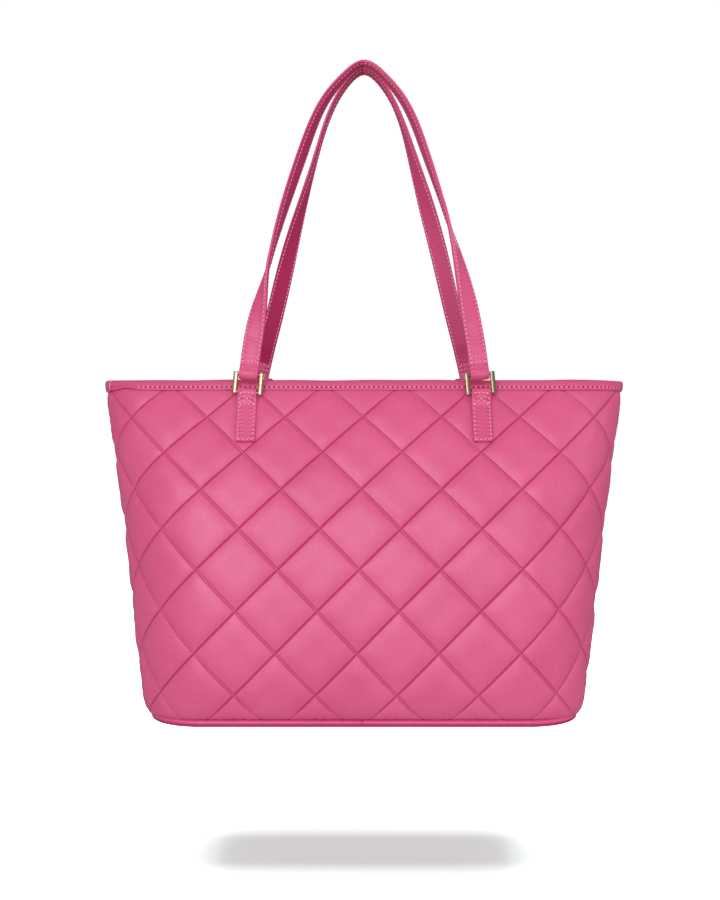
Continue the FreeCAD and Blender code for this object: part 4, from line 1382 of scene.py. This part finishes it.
def inside():
    pink_sewing = Sewing("bag", "_inner")
    dark_sewing = Sewing("bag", "_lining", DARK_STITCH, DARK_HOLE_SHADE)
    walls = place(lining_walls(), "bag", "lining_cloth", "lining")
    floor = place(lining_floor(), "bag", "lining_cloth", "lining")
    place(facing(pink_sewing), "bag", "trim_leather", "mouth_facing")
    panel, hem = slip_pocket(pink_sewing)
    place(panel, "bag", "lining_cloth", "slip_pocket_panel")
    place(hem, "bag", "trim_leather", "slip_pocket_hem")
    cloth_behind = place(pouch(), "bag", "lining_cloth", "pocket_pouch")
    for label, up in (("upper", 1), ("lower", -1)):
        place(zip_tape(f"zip_{label}_tape", up), "bag", "zip_tape", f"pocket_zip_{label}_tape")
        place(zip_coil(f"zip_{label}_teeth", up), "bag", "zip_coil", f"pocket_zip_{label}_coil")
    sew_lining(dark_sewing)
    pink_sewing.make()
    dark_sewing.make()


# ---- putting it together ----------------------------------------------------------------------


def place(piece, body, slot_name, *nodes):
    """Attaches a piece to the body that it moves with, and hides the CAD nodes that it stands for. The slot
    name is not used.
    """
    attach(piece, body)
    if nodes:
        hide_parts(*nodes)
    return piece


def outside():
    table = simulate_pads()
    place(quilted_panel("front_quilt", table, False), "bag", "quilted_leather", "front_panel")
    place(quilted_panel("back_quilt", table, True), "bag", "quilted_leather", "back_panel")
    place(base_piping(), "bag", "trim_leather", "base_piping")
    place(base_skin(), "bag", "base_leather", "base_panel")
    place(rim_binding(), "bag", "trim_leather", "rim_binding")
    place(lap_edge(), "bag", "trim_leather")
    sewing = Sewing("bag")
    sew_binding(sewing)
    for side, label in ((-1, "front"), (1, "back")):
        for sign in (-1, 1):
            strip, which = tab(side, sign, sewing)
            place(strip, "bag", "trim_leather", f"{which}_tab")
            ring = metal_ring(f"{which}_ring_metal", side, sign)
            place(ring, f"{which}_ring", "ring_metal", f"{which}_ring")
        handle_sewing = Sewing(f"{label}_handle")
        arch, twists = (FRONT_ARCH, FRONT_TWISTS) if side < 0 else (BACK_ARCH, BACK_TWISTS)
        strip = handle(f"{label}_handle_strip", side, arch, twists, handle_sewing)
        place(strip, f"{label}_handle", "trim_leather", f"{label}_handle")
        handle_sewing.make()
    sewing.make()


def carried_over():
    """Gives the CAD nodes that are shown as they are their finishes."""
    finishes = {
        STEEL: ("snap_stud_washer", "snap_socket_washer"),
        GOLD: ("snap_stud", "snap_socket", "pocket_zip_stops", "pocket_zip_slider", "pocket_zip_pull"),
        BOARD: ("base_board",),
    }
    for material, names in finishes.items():
        for name in names:
            mesh = frame["nodes"][name].data
            mesh.materials.clear()
            mesh.materials.append(material)


def floor_below():
    """Pale floor under the hanging bag. It shines white but for a patch that takes the shadow."""
    shader = Shader("studio_floor")
    drift = shader.noise(2, 2)
    away = shader.add("ShaderNodeVectorMath", operation="LENGTH")
    shader.join(shader.place, away.inputs[0])
    glow = shader.ramp(away.outputs["Value"], FLOOR_GLOW_NEAR, FLOOR_GLOW_FAR, *FLOOR_PATCH)
    shader.join(glow, shader.surface.inputs["Emission Strength"])
    shader.surface.inputs["Emission Color"].default_value = (1, 1, 1, 1)
    tone = shader.mix(drift, *FLOOR_TONES)
    material = shader.finish(tone, shader.ramp(drift, 0.85, 0.9), shader.bump(drift, 0.02, 0.0001))
    signs = ((-1, -1), (1, -1), (1, 1), (-1, 1))
    corners = [(x * FLOOR_HALF_SIZE, y * FLOOR_HALF_SIZE, FLOOR_HEIGHT) for x, y in signs]
    floor = make_object("floor", corners, [(0, 1, 2, 3)], material, False)
    floor.visible_diffuse = False
    floor.visible_glossy = False
    return floor


def sky():
    """White all round: as bright as paper behind the bag, and dimmer in its light and reflections."""
    world = bpy.data.worlds.new("studio")
    world.use_nodes = True
    bpy.context.scene.world = world
    tree = world.node_tree
    background = tree.nodes["Background"]
    background.inputs["Color"].default_value = (1, 1, 1, 1)
    path = tree.nodes.new("ShaderNodeLightPath")
    total = None
    for output, level_seen in (("Is Camera Ray", WORLD_SEEN), ("Is Glossy Ray", WORLD_GLOSS)):
        step = tree.nodes.new("ShaderNodeMath")
        step.operation = "MULTIPLY_ADD"
        step.inputs[1].default_value = level_seen - WORLD_STRENGTH
        step.inputs[2].default_value = WORLD_STRENGTH
        tree.links.new(path.outputs[output], step.inputs[0])
        if total:
            tree.links.new(total, step.inputs[2])
        total = step.outputs[0]
    tree.links.new(total, background.inputs["Strength"])


def softboxes(floor):
    """Lamps for the bag, for the floor alone and for the rings alone."""
    scene = bpy.context.scene
    receivers = {lit: bpy.data.collections.new(f"lit_by_{lit}_lamps") for lit in ("bag", "floor", "rings")}
    receivers["floor"].objects.link(floor)
    receivers["bag"].objects.link(floor)
    for piece in [o for o in scene.objects if o.name.endswith("_ring_metal")]:
        receivers["bag"].objects.link(piece)
        receivers["rings"].objects.link(piece)
    for linked in receivers["bag"].collection_objects:  # the bag's lamps light all but these
        linked.light_linking.link_state = "EXCLUDE"
    for name, spot, size, power, lit in LAMPS:
        data = bpy.data.lights.new(name, "AREA")
        data.shape = "RECTANGLE"
        data.size, data.size_y = size
        data.energy = power
        lamp = bpy.data.objects.new(name, data)
        lamp.location = spot
        lamp.rotation_mode = "QUATERNION"
        lamp.rotation_quaternion = (Vector(LAMP_TARGET) - Vector(spot)).to_track_quat("-Z", "Y")
        lamp.visible_glossy = lit != "floor"
        lamp.light_linking.receiver_collection = receivers[lit]
        scene.collection.objects.link(lamp)


def stage():
    """Floor, light and camera."""
    softboxes(floor_below())
    sky()
    data = bpy.data.cameras.new("camera")
    data.lens = CAMERA_LENS
    data.shift_x, data.shift_y = CAMERA_SHIFT
    camera = bpy.data.objects.new("camera", data)
    camera.location = CAMERA_PLACE
    camera.rotation_euler = (math.pi / 2, 0, 0)
    scene = bpy.context.scene
    scene.collection.objects.link(camera)
    scene.camera = camera
    scene.view_settings.view_transform = "Standard"


outside()
inside()
carried_over()
stage()
